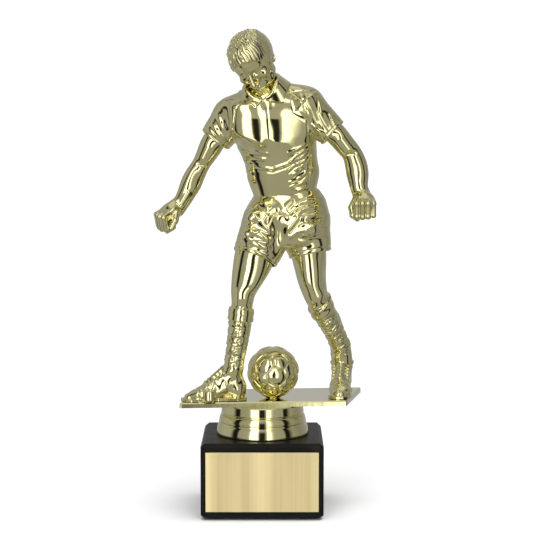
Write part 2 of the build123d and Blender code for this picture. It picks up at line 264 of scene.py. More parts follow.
# ------------------------------------------------------------------ surface from a field
def surface(f, lo, hi, h):
    """Surface nets on the zero level, relaxed and drawn back on to it. Gives vertices, quads, normals."""
    h = h * 1.0
    lo = np.asarray(lo, float)
    n = np.ceil((np.asarray(hi, float) - lo) / h).astype(int) + 1
    s = 3
    nc = -(-n // s) + 1
    cx = [lo[i] + h * s * np.arange(nc[i]) for i in range(3)]
    G = np.stack(np.meshgrid(*cx, indexing="ij"), -1).reshape(-1, 3)
    D = np.concatenate([f(G[i : i + 200000]) for i in range(0, len(G), 200000)]).reshape(nc)
    A = np.abs(D)
    m = A[:-1, :-1, :-1].copy()
    for a in (0, 1):
        for b in (0, 1):
            for c in (0, 1):
                m = np.minimum(m, A[a : A.shape[0] - 1 + a, b : A.shape[1] - 1 + b, c : A.shape[2] - 1 + c])
    hot = m < h * s * 1.35
    grow = lambda q: q.repeat(s, 0).repeat(s, 1).repeat(s, 2)
    F = grow(D[:-1, :-1, :-1])
    M = grow(hot)
    idx = np.argwhere(M)
    vals = np.concatenate([f(lo + h * idx[i : i + 200000]) for i in range(0, len(idx), 200000)])
    F[M] = vals
    S = F < 0
    shape = np.array(F.shape)
    cells, points, quads = [], [], []
    for ax in range(3):
        u, v = (ax + 1) % 3, (ax + 2) % 3
        a = np.take(S, range(0, shape[ax] - 1), ax)
        b = np.take(S, range(1, shape[ax]), ax)
        e = np.argwhere(a != b)
        i1 = e.copy()
        i1[:, ax] += 1
        f0, f1 = F[tuple(e.T)], F[tuple(i1.T)]
        pos = e.astype(float)
        pos[:, ax] += f0 / (f0 - f1)
        keep = np.all(e[:, [u, v]] > 0, axis=1) & np.all(e[:, [u, v]] < shape[[u, v]] - 1, axis=1)
        e, pos, f0 = e[keep], pos[keep], f0[keep]
        four = []
        for du, dv in ((1, 1), (0, 1), (0, 0), (1, 0)):
            c = e.copy()
            c[:, u] -= du
            c[:, v] -= dv
            lin = (c[:, 0] * shape[1] + c[:, 1]) * shape[2] + c[:, 2]
            four.append(lin)
            cells.append(lin)
            points.append(pos)
        q = np.stack(four, 1)
        q[f0 > 0] = q[f0 > 0][:, ::-1]
        quads.append(q)
    cells, points, quads = np.concatenate(cells), np.concatenate(points), np.concatenate(quads)
    ids, inv = np.unique(cells, return_inverse=True)
    cnt = np.bincount(inv)
    V = np.stack([np.bincount(inv, points[:, i]) / cnt for i in range(3)], 1) * h + lo
    Q = np.searchsorted(ids, quads)
    edges = np.concatenate([Q[:, [0, 1]], Q[:, [1, 2]], Q[:, [2, 3]], Q[:, [3, 0]]])
    deg = np.bincount(edges.ravel(), minlength=len(V)).astype(float)

    def project(V, times):
        e = h * 0.12
        for _ in range(times):
            d = f(V)
            g = np.stack([f(V + e * np.eye(3)[i]) - d for i in range(3)], 1) / e
            gg = (g * g).sum(1) + 1e-6
            V = V - np.clip(d / gg, -0.6 * h, 0.6 * h)[:, None] * g
        return V

    V = project(V, 1)
    for _ in range(2):
        tot = np.stack(
            [np.bincount(edges[:, 0], V[edges[:, 1], i], len(V)) + np.bincount(edges[:, 1], V[edges[:, 0], i], len(V)) for i in range(3)], 1
        )
        V = V + 0.55 * (tot / deg[:, None] - V)
        V = project(V, 1)
    V = project(V, 1)
    e = h * 0.3
    N = np.stack([f(V + e * np.eye(3)[i]) - f(V - e * np.eye(3)[i]) for i in range(3)], 1)
    N /= np.linalg.norm(N, axis=1)[:, None] + 1e-12
    return V, Q, N


def mesh_piece(name, V, Q, N, mat):
    me = bpy.data.meshes.new(name)
    me.from_pydata((V / 1000.0).tolist(), [], Q.tolist())
    me.polygons.foreach_set("use_smooth", [True] * len(me.polygons))
    me.materials.append(mat)
    me.update()
    if N is not None:
        me.normals_split_custom_set_from_vertices(N.tolist())
    ob = bpy.data.objects.new(name, me)
    bpy.context.scene.collection.objects.link(ob)
    return ob


# ------------------------------------------------------------------ materials
def nodes_of(name):
    mat = bpy.data.materials.new(name)
    mat.use_nodes = True
    nt = mat.node_tree
    return mat, nt, nt.nodes["Principled BSDF"]


def add(nt, kind, **kw):
    nd = nt.nodes.new(kind)
    for k, v in kw.items():
        if isinstance(k, str) and hasattr(nd, k):
            setattr(nd, k, v)
    return nd


def ramp(nt, stops, source, interp="LINEAR"):
    r = nt.nodes.new("ShaderNodeValToRGB")
    r.color_ramp.interpolation = interp
    el = r.color_ramp.elements
    el[0].position, el[0].color = stops[0][0], tuple(stops[0][1]) + (1,)
    el[1].position, el[1].color = stops[-1][0], tuple(stops[-1][1]) + (1,)
    for p, c in stops[1:-1]:
        e = el.new(p)
        e.color = tuple(c) + (1,)
    nt.links.new(source, r.inputs[0])
    return r


def texnoise(nt, scale, detail=4.0, stretch=None, rough=0.5):
    co = nt.nodes.new("ShaderNodeTexCoord")
    mp = nt.nodes.new("ShaderNodeMapping")
    if stretch:
        mp.inputs["Scale"].default_value = stretch
    no = nt.nodes.new("ShaderNodeTexNoise")
    no.inputs["Scale"].default_value = scale
    no.inputs["Detail"].default_value = detail
    no.inputs["Roughness"].default_value = rough
    nt.links.new(co.outputs["Object"], mp.inputs["Vector"])
    nt.links.new(mp.outputs["Vector"], no.inputs["Vector"])
    return no


GOLD = (0.81, 0.755, 0.385)


def gold(name, rough=0.055, spread=0.035, wave=0.05, wave_size=260.0, tint=GOLD):
    """Vacuum-metallised gold under lacquer: a mirror with slight orange peel and faint handling haze."""
    mat, nt, b = nodes_of(name)
    b.inputs["Metallic"].default_value = 1.0
    b.inputs["Coat Weight"].default_value = 1.0
    b.inputs["Coat Roughness"].default_value = 0.03
    n1 = texnoise(nt, 55.0, 3.0)
    dark = tuple(c * k for c, k in zip(tint, (0.955, 0.95, 0.90)))
    light = tuple(min(1.0, c * k) for c, k in zip(tint, (1.02, 1.02, 1.06)))
    r = ramp(nt, [(0.35, dark), (0.65, light)], n1.outputs["Fac"])
    nt.links.new(r.outputs["Color"], b.inputs["Base Color"])
    n2 = texnoise(nt, 180.0, 5.0)
    mr = nt.nodes.new("ShaderNodeMapRange")
    mr.inputs["From Min"].default_value = 0.35
    mr.inputs["From Max"].default_value = 0.75
    mr.inputs["To Min"].default_value = rough
    mr.inputs["To Max"].default_value = rough + spread
    nt.links.new(n2.outputs["Fac"], mr.inputs["Value"])
    nt.links.new(mr.outputs["Result"], b.inputs["Roughness"])
    n3 = texnoise(nt, wave_size, 2.0)
    bp = nt.nodes.new("ShaderNodeBump")
    bp.inputs["Strength"].default_value = wave
    bp.inputs["Distance"].default_value = 0.0004
    nt.links.new(n3.outputs["Fac"], bp.inputs["Height"])
    nt.links.new(bp.outputs["Normal"], b.inputs["Normal"])
    return mat


M_SHIRT = gold("gold_cloth", 0.05, 0.03, 0.05)
M_SKIN = gold("gold_skin", 0.045, 0.03, 0.04)
M_HAIR = gold("gold_head", 0.06, 0.03, 0.04)
M_BALL = gold("gold_ball", 0.05, 0.03, 0.03)
M_COLLAR = gold("gold_collar", 0.04, 0.025, 0.03)
M_PLATE = gold("gold_plate", 0.06, 0.035, 0.05)


def stone():
    mat, nt, b = nodes_of("black_marble")
    n = texnoise(nt, 70.0, 8.0, rough=0.6)
    r = ramp(nt, [(0.40, (0.0045, 0.0042, 0.0036)), (0.62, (0.0075, 0.0070, 0.0062)), (0.70, (0.013, 0.012, 0.011))], n.outputs["Fac"])
    nt.links.new(r.outputs["Color"], b.inputs["Base Color"])
    n2 = texnoise(nt, 400.0, 4.0)
    mr = nt.nodes.new("ShaderNodeMapRange")
    mr.inputs["To Min"].default_value = 0.30
    mr.inputs["To Max"].default_value = 0.46
    nt.links.new(n2.outputs["Fac"], mr.inputs["Value"])
    nt.links.new(mr.outputs["Result"], b.inputs["Roughness"])
    bp = nt.nodes.new("ShaderNodeBump")
    bp.inputs["Strength"].default_value = 0.06
    bp.inputs["Distance"].default_value = 0.0002
    nt.links.new(n2.outputs["Fac"], bp.inputs["Height"])
    nt.links.new(bp.outputs["Normal"], b.inputs["Normal"])
    b.inputs["Specular IOR Level"].default_value = 0.16
    return mat


def plaque_gold():
    """Gold anodised sheet, brushed upright. Its light and dark come from what it mirrors; the thin sheet bows slightly."""
    mat, nt, b = nodes_of("plaque_gold")
    b.inputs["Metallic"].default_value = 0.55
    grain = texnoise(nt, 900.0, 6.0, stretch=(1.0, 1.0, 0.012), rough=0.65)
    gr = ramp(nt, [(0.3, (0.83, 0.68, 0.34)), (0.7, (0.91, 0.76, 0.40))], grain.outputs["Fac"])
    nt.links.new(gr.outputs["Color"], b.inputs["Base Color"])
    m2 = nt.nodes.new("ShaderNodeMapRange")
    m2.inputs["To Min"].default_value = 0.24
    m2.inputs["To Max"].default_value = 0.36
    nt.links.new(grain.outputs["Fac"], m2.inputs["Value"])
    nt.links.new(m2.outputs["Result"], b.inputs["Roughness"])
    bow = texnoise(nt, 42.0, 0.0, stretch=(1.0, 1.0, 0.15))
    bp0 = nt.nodes.new("ShaderNodeBump")
    bp0.inputs["Strength"].default_value = 0.9
    bp0.inputs["Distance"].default_value = 0.004
    nt.links.new(bow.outputs["Fac"], bp0.inputs["Height"])
    bp = nt.nodes.new("ShaderNodeBump")
    bp.inputs["Strength"].default_value = 0.12
    bp.inputs["Distance"].default_value = 0.0001
    nt.links.new(grain.outputs["Fac"], bp.inputs["Height"])
    nt.links.new(bp0.outputs["Normal"], bp.inputs["Normal"])
    nt.links.new(bp.outputs["Normal"], b.inputs["Normal"])
    return mat


def steel(name, base, rough):
    mat, nt, b = nodes_of(name)
    b.inputs["Metallic"].default_value = 1.0
    n = texnoise(nt, 350.0, 5.0)
    r = ramp(nt, [(0.3, tuple(c * 0.86 for c in base)), (0.7, base)], n.outputs["Fac"])
    nt.links.new(r.outputs["Color"], b.inputs["Base Color"])
    mr = nt.nodes.new("ShaderNodeMapRange")
    mr.inputs["To Min"].default_value = rough
    mr.inputs["To Max"].default_value = rough + 0.18
    nt.links.new(n.outputs["Fac"], mr.inputs["Value"])
    nt.links.new(mr.outputs["Result"], b.inputs["Roughness"])
    return mat


def foam():
    mat, nt, b = nodes_of("pad_foam")
    n = texnoise(nt, 2200.0, 4.0)
    r = ramp(nt, [(0.35, (0.012, 0.012, 0.012)), (0.65, (0.035, 0.035, 0.035))], n.outputs["Fac"])
    nt.links.new(r.outputs["Color"], b.inputs["Base Color"])
    mr = nt.nodes.new("ShaderNodeMapRange")
    mr.inputs["To Min"].default_value = 0.75
    mr.inputs["To Max"].default_value = 0.95
    nt.links.new(n.outputs["Fac"], mr.inputs["Value"])
    nt.links.new(mr.outputs["Result"], b.inputs["Roughness"])
    bp = nt.nodes.new("ShaderNodeBump")
    bp.inputs["Strength"].default_value = 0.3
    bp.inputs["Distance"].default_value = 0.0002
    nt.links.new(n.outputs["Fac"], bp.inputs["Height"])
    nt.links.new(bp.outputs["Normal"], b.inputs["Normal"])
    return mat


def film():
    mat, nt, b = nodes_of("tape_film")
    n = texnoise(nt, 300.0, 3.0)
    r = ramp(nt, [(0.3, (0.62, 0.60, 0.54)), (0.7, (0.72, 0.71, 0.66))], n.outputs["Fac"])
    nt.links.new(r.outputs["Color"], b.inputs["Base Color"])
    b.inputs["Roughness"].default_value = 0.4
    return mat


M_STONE, M_PLAQUE, M_FOAM, M_FILM = stone(), plaque_gold(), foam(), film()
M_ZINC = steel("zinc_steel", (0.66, 0.67, 0.68), 0.16)
M_ROD = steel("zinc_thread", (0.60, 0.60, 0.62), 0.22)

# ------------------------------------------------------------------ CAD nodes that keep their shape
finishes = {
    "stone_block": M_STONE, "plaque": M_PLAQUE, "plaque_tape": M_FILM,
    "foot_pad_front_left": M_FOAM, "foot_pad_front_right": M_FOAM,
    "foot_pad_rear_left": M_FOAM, "foot_pad_rear_right": M_FOAM,
    "clamp_washer": M_ZINC, "clamp_nut": M_ZINC, "captive_nut": M_ZINC,
    "collar": M_COLLAR, "stage_plate": M_PLATE, "threaded_rod": M_ROD,
}
for node, mat in finishes.items():
    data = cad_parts[node].data
    data.materials.clear()
    data.materials.append(mat)


# ------------------------------------------------------------------ the head
HD = np.array([-4.7, -7.0, 191.2])
HF = unit((-0.20, -0.77, -0.60))
HU = np.array([-0.48, -0.40, 0.80])
HU = unit(HU - (HU @ HF) * HF)
HS = np.cross(HU, -HF)
HS = unit(HS) if HS[0] > 0 else -unit(HS)
HC = HD - 3.4 * HU + 1.0 * HF
NECK = [(2.0, -1.0, 170.0, 6.6, 5.6), (1.2, -1.6, 175.2, 6.9, 4.9), (0.4, -1.8, 179.0, 6.7, 4.7), (-1.0, -3.8, 183.5, 5.2, 5.2), (-2.4, -5.6, 189.0, 5.4, 5.8)]


FACE = 1.07


def head_field(P):
    q = P - HC
    hs, hu, hf = q @ HS, q @ HU, q @ HF
    s, u, f = hs * FACE, hu * FACE, hf * FACE
    L = np.stack([s, u, f], 1)
    A = np.stack([np.abs(s), u, f], 1)
    d = ell(L, (0, 3.4, -0.9), (9.0, 9.6, 10.7))
    d = smin(d, ell(L, (0, -2.4, 1.8), (7.9, 9.4, 7.4)), 2.0)
    d = smin(d, ell(L, (0, 4.6, 3.4), (7.6, 6.4, 6.2)), 1.6)
    d = smin(d, ell(L, (0, -7.9, 3.0), (6.0, 4.4, 5.4)), 1.6)
    d = smin(d, ell(L, (0, -11.0, 7.0), (2.7, 2.0, 2.1)), 1.5)
    d = smin(d, ell(A, (4.9, -2.9, 6.3), (2.3, 1.8, 2.1)), 1.6)
    d = smin(d, cap(A, (1.0, 2.1, 8.9), (4.9, 1.9, 7.2), 1.0, 0.9), 1.1)
    d = smax(d, -ell(A, (3.3, 0.1, 9.7), (2.4, 1.45, 1.8)), 0.9)
    d = smin(d, ball(A, (3.25, 0.0, 6.85), 1.6), 0.35)
    lid = ball(A, (3.25, 0.0, 6.8), 1.82)
    d = smin(d, smax(lid, 0.15 - u + 0.09 * (A[:, 0] - 3.2) ** 2, 0.2), 0.3)
    d = smin(d, smax(lid, u + 0.75, 0.2), 0.5)
    d = smin(d, cap(A, (1.7, 2.75, 9.35), (5.2, 2.7, 7.35), 0.42, 0.26), 0.35)
    d = smin(d, cap(L, (0, 1.7, 8.9), (0, -4.3, 11.4), 0.78, 1.05), 0.8)
    d = smin(d, ball(L, (0, -4.7, 11.3), 1.25), 0.5)
    d = smin(d, ell(A, (1.45, -5.0, 10.1), (0.95, 0.9, 1.25)), 0.45)
    d = smax(d, -cap(A, (0.7, -5.9, 10.6), (0.85, -4.9, 10.4), 0.42, 0.3), 0.25)
    d = smin(d, ell(L, (0, -7.9, 7.0), (3.5, 2.7, 2.4)), 1.2)
    d = smin(d, cap(A, (0.35, -7.35, 9.35), (2.5, -7.95, 8.3), 0.52, 0.28), 0.35)
    d = smin(d, cap(L, (-1.3, -8.85, 9.0), (1.3, -8.85, 9.0), 0.62), 0.45)
    d = smin(d, cap(A, (1.3, -8.85, 9.0), (2.4, -8.2, 8.3), 0.55, 0.3), 0.35)
    d = smax(d, -cap(A, (0.0, -8.15, 9.95), (2.7, -8.1, 8.65), 0.26, 0.2), 0.2)
    d = smax(d, -ell(L, (0, -9.9, 9.5), (2.0, 0.5, 0.8)), 0.6)
    # jaw corner and the hollow under the cheek
    d = smin(d, cap(A, (5.6, -5.6, -0.2), (2.6, -10.4, 5.6), 1.5, 1.5), 1.8)
    d = smax(d, -ell(A, (6.9, -6.0, 5.6), (1.6, 2.6, 2.2)), 1.6)
    # ears
    e = np.stack([A[:, 0] - 7.4 + 0.24 * (f + 1.6), u + 0.5, f + 1.6], 1)
    ear = ell(e, (0.0, 0, 0), (0.95, 2.9, 1.8))
    rim = np.hypot(np.sqrt((e[:, 1] / 2.7) ** 2 + (e[:, 2] / 1.6) ** 2) * 2.1 - 2.1, e[:, 0] - 0.7) - 0.42
    ear = smin(ear, rim, 0.3)
    ear = smax(ear, -ell(e, (0.95, -0.1, 0.35), (0.65, 1.6, 0.8)), 0.25)
    d = smin(d, ear, 0.35) / FACE
    # neck in the body's frame
    neck = tube(P, NECK, 4)
    neck = smin(neck, ncap(P, (6.0, -3.4, 172.5), (1.4, -1.2, 187.0), 1.6, 1.5), 1.6)
    neck = smin(neck, ncap(P, (-1.6, -4.6, 172.0), (-6.0, -4.2, 186.0), 1.4, 1.3), 1.6)
    d = smin(d, neck, 1.6)
    # hair: a cap over the skull with combed tufts
    L = np.stack([hs, hu, hf], 1)
    A = np.stack([np.abs(hs), hu, hf], 1)
    w = L - np.array([0, 3.4, -0.9])
    r1, fwd = w[:, 0] - 0.8, w[:, 2] + 3.6
    phi = np.arctan2(r1, fwd)
    dist = np.hypot(r1, fwd)
    arc = np.where(w[:, 1] > 0, dist, 9.4 - 0.9 * w[:, 1])
    lane = phi - 0.050 * arc + 0.05 * np.sin(0.5 * arc + 3.0 * phi) + 0.03 * np.sin(1.7 * arc + 9 * phi)
    c = lane * 42 / (2 * math.pi)
    kk = np.floor(c)
    e2 = c - kk
    ridge = np.clip(4 * e2 * (1 - e2), 0, 1) ** 0.6
    t = (arc / 3.9 + 0.5 * (kk % 2) + 0.13 * np.sin(kk * 2.4)) % 1.0
    tier = t * t * step(1.0, 0.88, t)
    calm = 1 - 0.75 * step(3.5, 8.0, hs)
    lock = calm * ridge * (0.16 + 0.62 * tier) * step(0.6, 3.0, dist)
    hair = ell(L, (0, 3.6, -1.1), (9.15, 9.7, 11.0)) - lock
    line = -1.2 + 0.80 * hf - 0.5 * ridge * tier - 0.25 * np.sin(3 * kk) * ridge - 0.012 * hs * hs
    line = np.where(hf < -2.5, line + 0.60 * (hf + 2.5), line)
    hair = smax(hair, (line - hu) / 1.28, 0.6)
    side = smax(ell(A, (7.2, 0.2, 2.2), (1.2, 3.4, 1.5)), -hu - 2.4, 0.4)
    hair = smin(hair, side, 0.8)
    d = smin(d, hair, 0.16)
    return smax(d, 168.5 - P[:, 2], 0.3)


# ------------------------------------------------------------------ shirt and shorts
SHIRT = [
    (130.6, 9.4, 4.0, 12.5, 9.0, -5),
    (133.0, 9.2, 3.9, 13.1, 9.4, -5),
    (136.0, 8.9, 3.6, 13.9, 9.9, -6),
    (139.5, 8.7, 3.0, 14.9, 10.3, -7),
    (143.5, 8.5, 2.2, 15.5, 10.6, -8),
    (148.0, 7.5, 1.1, 15.7, 11.0, -9),
    (153.3, 6.1, 0.3, 16.7, 11.7, -11),
    (159.0, 5.3, -0.1, 17.2, 11.7, -9),
    (164.5, 4.8, -0.6, 16.6, 11.1, -6),
    (169.0, 4.2, -1.1, 14.8, 10.0, -4),
    (173.0, 3.4, -1.7, 11.8, 8.4, -4),
    (176.0, 2.4, -2.2, 8.6, 7.2, -4),
]
SLV_R = ((-13.0, 1.6, 165.2), (-19.7, 2.9, 156.3))
SLV_L = ((18.2, -3.6, 169.4), (29.5, -5.0, 159.0))
HIPS = [
    (112.0, 9.4, 2.4, 15.0, 10.0, -3),
    (116.0, 9.5, 2.5, 17.0, 12.0, -3),
    (120.0, 9.8, 2.8, 18.2, 12.9, -3),
    (124.0, 10.3, 3.1, 17.8, 12.6, -4),
    (128.0, 10.7, 3.5, 16.9, 11.7, -4),
    (131.5, 11.0, 4.0, 15.6, 10.4, -5),
    (134.0, 11.0, 4.2, 13.9, 9.4, -5),
    (136.0, 11.0, 4.2, 12.5, 8.6, -5),
]
SRT_R = ((3.3, 1.6, 122.0), (-3.2, -2.6, 106.7))
SRT_L = ((17.2, 3.6, 122.0), (20.3, 2.0, 107.9))

COL_C = np.array([1.2, -3.3, 175.6])
COL_A = unit((-0.30, -0.40, 0.86))
COL_F = unit(np.array([-0.16, -1.0, 0.0]) - (np.array([-0.16, -1.0, 0.0]) @ COL_A) * COL_A)
COL_S = np.cross(COL_A, COL_F)

FRONT_FOLDS = [
    # under the chest, left of the picture
    (-6.6, 155.4, 2.4, 154.6, 0.9, 0.26), (-6.2, 151.8, 4.0, 150.4, 0.85, 0.36), (-5.4, 149.4, 1.6, 148.2, 0.7, 0.30),
    # the long swag across the belly
    (-2.6, 145.2, 5.2, 144.0, 0.75, 0.34), (3.6, 144.0, 11.8, 146.9, 0.75, 0.40), (10.2, 146.2, 18.9, 150.6, 0.75, 0.42),
    # bundle gathered at the side seam, right of the picture
    (9.6, 150.6, 14.8, 152.6, 0.65, 0.34), (13.6, 152.0, 19.0, 155.0, 0.65, 0.40),
    (10.8, 146.6, 15.0, 150.8, 0.55, 0.34), (13.6, 149.2, 18.6, 153.0, 0.55, 0.42),
    (9.4, 142.6, 14.6, 147.2, 0.60, 0.42), (13.4, 145.8, 19.0, 148.6, 0.60, 0.44),
    (12.2, 141.4, 17.4, 145.4, 0.65, 0.46), (13.0, 143.6, 17.8, 146.6, 0.5, 0.30),
    (10.6, 138.4, 16.0, 140.6, 0.60, 0.34), (14.6, 139.8, 19.0, 143.4, 0.60, 0.44),
    (10.6, 136.6, 18.4, 138.9, 0.60, 0.36), (13.4, 134.8, 18.6, 136.4, 0.5, 0.30),
    # left flank ripples
    (-9.4, 152.4, -4.6, 150.0, 0.8, 0.22), (-8.8, 148.0, -4.4, 145.6, 0.8, 0.30),
    (-7.8, 143.6, -3.8, 141.4, 0.8, 0.30), (-7.0, 139.4, -3.0, 137.8, 0.75, 0.28), (-6.2, 136.0, -2.4, 135.0, 0.6, 0.2),
    # sleeve, left of the picture
    (-23.4, 161.4, -18.8, 157.2, 0.65, 0.24), (-21.6, 164.0, -17.0, 156.4, 0.70, 0.30),
    (-19.0, 168.2, -15.8, 158.4, 0.80, 0.33), (-15.2, 165.6, -13.2, 155.0, 0.90, 0.32), (-17.4, 158.8, -13.6, 154.0, 0.6, 0.24),
    # sleeve, right of the picture
    (17.4, 177.0, 19.6, 168.6, 0.85, 0.24), (19.4, 171.4, 22.6, 161.6, 0.85, 0.32), (23.4, 176.0, 24.6, 166.6, 0.85, 0.26),
    (23.0, 168.6, 27.2, 160.4, 0.75, 0.32), (27.6, 168.4, 30.6, 161.4, 0.7, 0.26),
    (20.0, 163.2, 24.8, 157.8, 0.6, 0.29), (22.6, 160.6, 28.0, 157.2, 0.55, 0.26),
]
SHORT_FOLDS = [
    # arched tuck over the fly, falling to the crotch on both sides
    (1.6, 121.0, 3.0, 125.6, 0.81, -0.55), (2.6, 125.0, 6.8, 126.9, 0.81, -0.55), (6.2, 127.0, 11.2, 125.4, 0.81, -0.55), (10.6, 125.2, 15.2, 128.9, 0.81, -0.50),
    # below the shirt hem
    (-0.6, 130.9, 3.2, 127.9, 0.88, 0.40), (3.4, 131.4, 5.6, 128.4, 0.88, 0.36), (9.4, 128.2, 13.0, 131.6, 0.88, 0.40), (12.4, 128.2, 16.8, 131.0, 0.75, 0.36),
    # from the crotch to the hip, left of the picture
    (6.2, 116.4, -2.2, 124.4, 1.12, 0.56), (5.2, 114.2, -5.6, 119.6, 1.12, 0.56), (0.2, 118.2, -4.6, 124.0, 0.75, 0.34),
    (4.4, 111.2, -6.8, 114.8, 1.00, 0.50), (4.4, 108.2, -8.6, 111.4, 0.81, 0.40), (3.2, 105.9, -8.2, 109.0, 0.62, 0.28),
    (-6.8, 128.2, -0.8, 124.4, 1.06, 0.40), (-8.8, 122.6, -3.2, 118.2, 1.00, 0.42), (-10.4, 116.4, -5.2, 112.8, 0.94, 0.38),
    # from the crotch to the hip, right of the picture
    (9.6, 118.0, 15.8, 125.6, 1.00, 0.52), (10.6, 115.6, 17.4, 120.0, 0.94, 0.46), (12.4, 112.6, 20.2, 114.8, 1.00, 0.42),
    # stacked folds on the hip, right of the picture
    (13.4, 129.2, 20.4, 132.4, 0.81, 0.42), (17.4, 130.4, 25.0, 132.8, 0.81, 0.42), (14.4, 126.4, 21.0, 129.4, 0.88, 0.50), (18.6, 127.2, 26.2, 129.6, 0.88, 0.48),
    (15.2, 123.2, 24.6, 125.9, 1.06, 0.58), (19.4, 125.0, 27.2, 126.8, 0.75, 0.34), (14.4, 120.6, 19.6, 122.2, 0.75, 0.40), (18.4, 121.2, 27.8, 121.9, 1.12, 0.56),
    (15.2, 117.2, 20.2, 115.8, 0.75, 0.40), (18.6, 116.6, 28.2, 117.2, 1.06, 0.48), (17.4, 112.7, 27.8, 113.1, 0.75, 0.30),
]
SHORT_FOLDS = [(x1, z1, x2, z2, w * 1.22, a) for x1, z1, x2, z2, w, a in SHORT_FOLDS if abs(a) >= 0.38]
SEAMS = [
    (10.6, 176.2, 22.0, 176.4), (-6.6, 173.8, -15.6, 172.2),
    (19.3, 158.4, 20.0, 150.2), (20.0, 150.2, 19.5, 143.2), (19.5, 143.2, 19.3, 136.6),
    (-6.2, 175.6, -11.0, 168.4), (-11.0, 168.4, -12.0, 161.2), (-12.0, 161.2, -10.6, 155.6),
    (9.6, 178.0, 16.6, 172.4), (16.6, 172.4, 18.4, 165.2), (18.4, 165.2, 18.8, 158.2),
]
BACK_FOLDS = [
    (-8.0, 152.0, 6.0, 147.0, 1.5, 0.34), (6.0, 147.0, 20.0, 152.6, 1.5, 0.36),
    (-6.0, 144.6, 5.0, 140.6, 1.3, 0.34), (6.0, 140.4, 19.0, 145.6, 1.3, 0.36),
    (-10.6, 165.0, 1.0, 157.2, 1.6, 0.30), (18.6, 166.4, 7.0, 157.6, 1.6, 0.30),
    (-14.4, 169.0, -12.0, 155.0, 1.1, 0.46), (-18.6, 166.4, -15.8, 155.6, 0.9, 0.40),
    (19.4, 174.0, 20.8, 159.4, 1.1, 0.46), (24.0, 170.6, 26.6, 158.6, 0.9, 0.40),
    (-4.4, 137.0, 8.0, 135.4, 1.0, 0.30), (9.0, 135.4, 20.6, 137.2, 1.0, 0.30),
    (8.6, 118.0, -3.4, 126.6, 1.2, 0.52), (10.6, 118.0, 21.8, 126.6, 1.2, 0.52),
    (6.6, 112.6, -7.4, 117.6, 1.1, 0.46), (12.4, 112.6, 25.6, 117.8, 1.1, 0.46),
    (8.8, 127.4, 2.4, 131.6, 1.0, 0.36), (10.4, 127.4, 17.0, 131.8, 1.0, 0.36),
]


# how far the cloth over the chest turns to one side, left to right, and up or down, low to high (mm, degrees)
CHEST_TURN = [(-15.0, -52), (-13.6, -38), (-11.4, -33), (-10.4, -30), (-9.2, -23), (-8.0, -16), (-5.0, -8), (-3.4, -3.5), (-1.4, 3), (-0.2, 7.5), (1.6, 10.5), (2.3, 3),
              (2.9, -6.5), (4.2, -4.8), (6.0, 0), (7.6, 4.8), (9.4, 8), (14.5, 12), (18.0, 17), (19.5, 24), (21.0, 40), (24.0, 60)]
CHEST_RISE = [(148.0, -13), (151.5, -10), (154.2, -5), (157.0, -2), (160.0, 0), (163.0, 3.5), (166.0, 8), (169.0, 15), (172.0, 25), (176.0, 35), (180.0, 40)]


def run_of(table, zero):
    at = np.linspace(table[0][0], table[-1][0], 500)
    slope = np.tan(np.radians(np.interp(at, [t[0] for t in table], [t[1] for t in table])))
    total = np.concatenate([[0], np.cumsum((slope[1:] + slope[:-1]) / 2 * np.diff(at))])
    return at, total - np.interp(zero, at, total)


ACROSS, OVER = run_of(CHEST_TURN, 2.6), run_of(CHEST_RISE, 160.0)


def chest_lift(x):
    """The lower edge of each chest muscle is lowest at its middle and rises to the breastbone and the sides."""
    return 2.6 * ((x - 3.6) / 12.0) ** 2 + 1.5 * np.exp(-(((x - 2.6) / 2.2) ** 2))


def chest(x, y, z):
    face = -12.9 + np.interp(x - 0.06 * (160 - z), *ACROSS) + np.interp(z - chest_lift(x), *OVER) + 0.9 * step(164.5, 169.0, z)
    d = smax((face - y) * 0.9, -13.4 - x, 1.5)
    return smax(d, x - 21.5, 3.5)


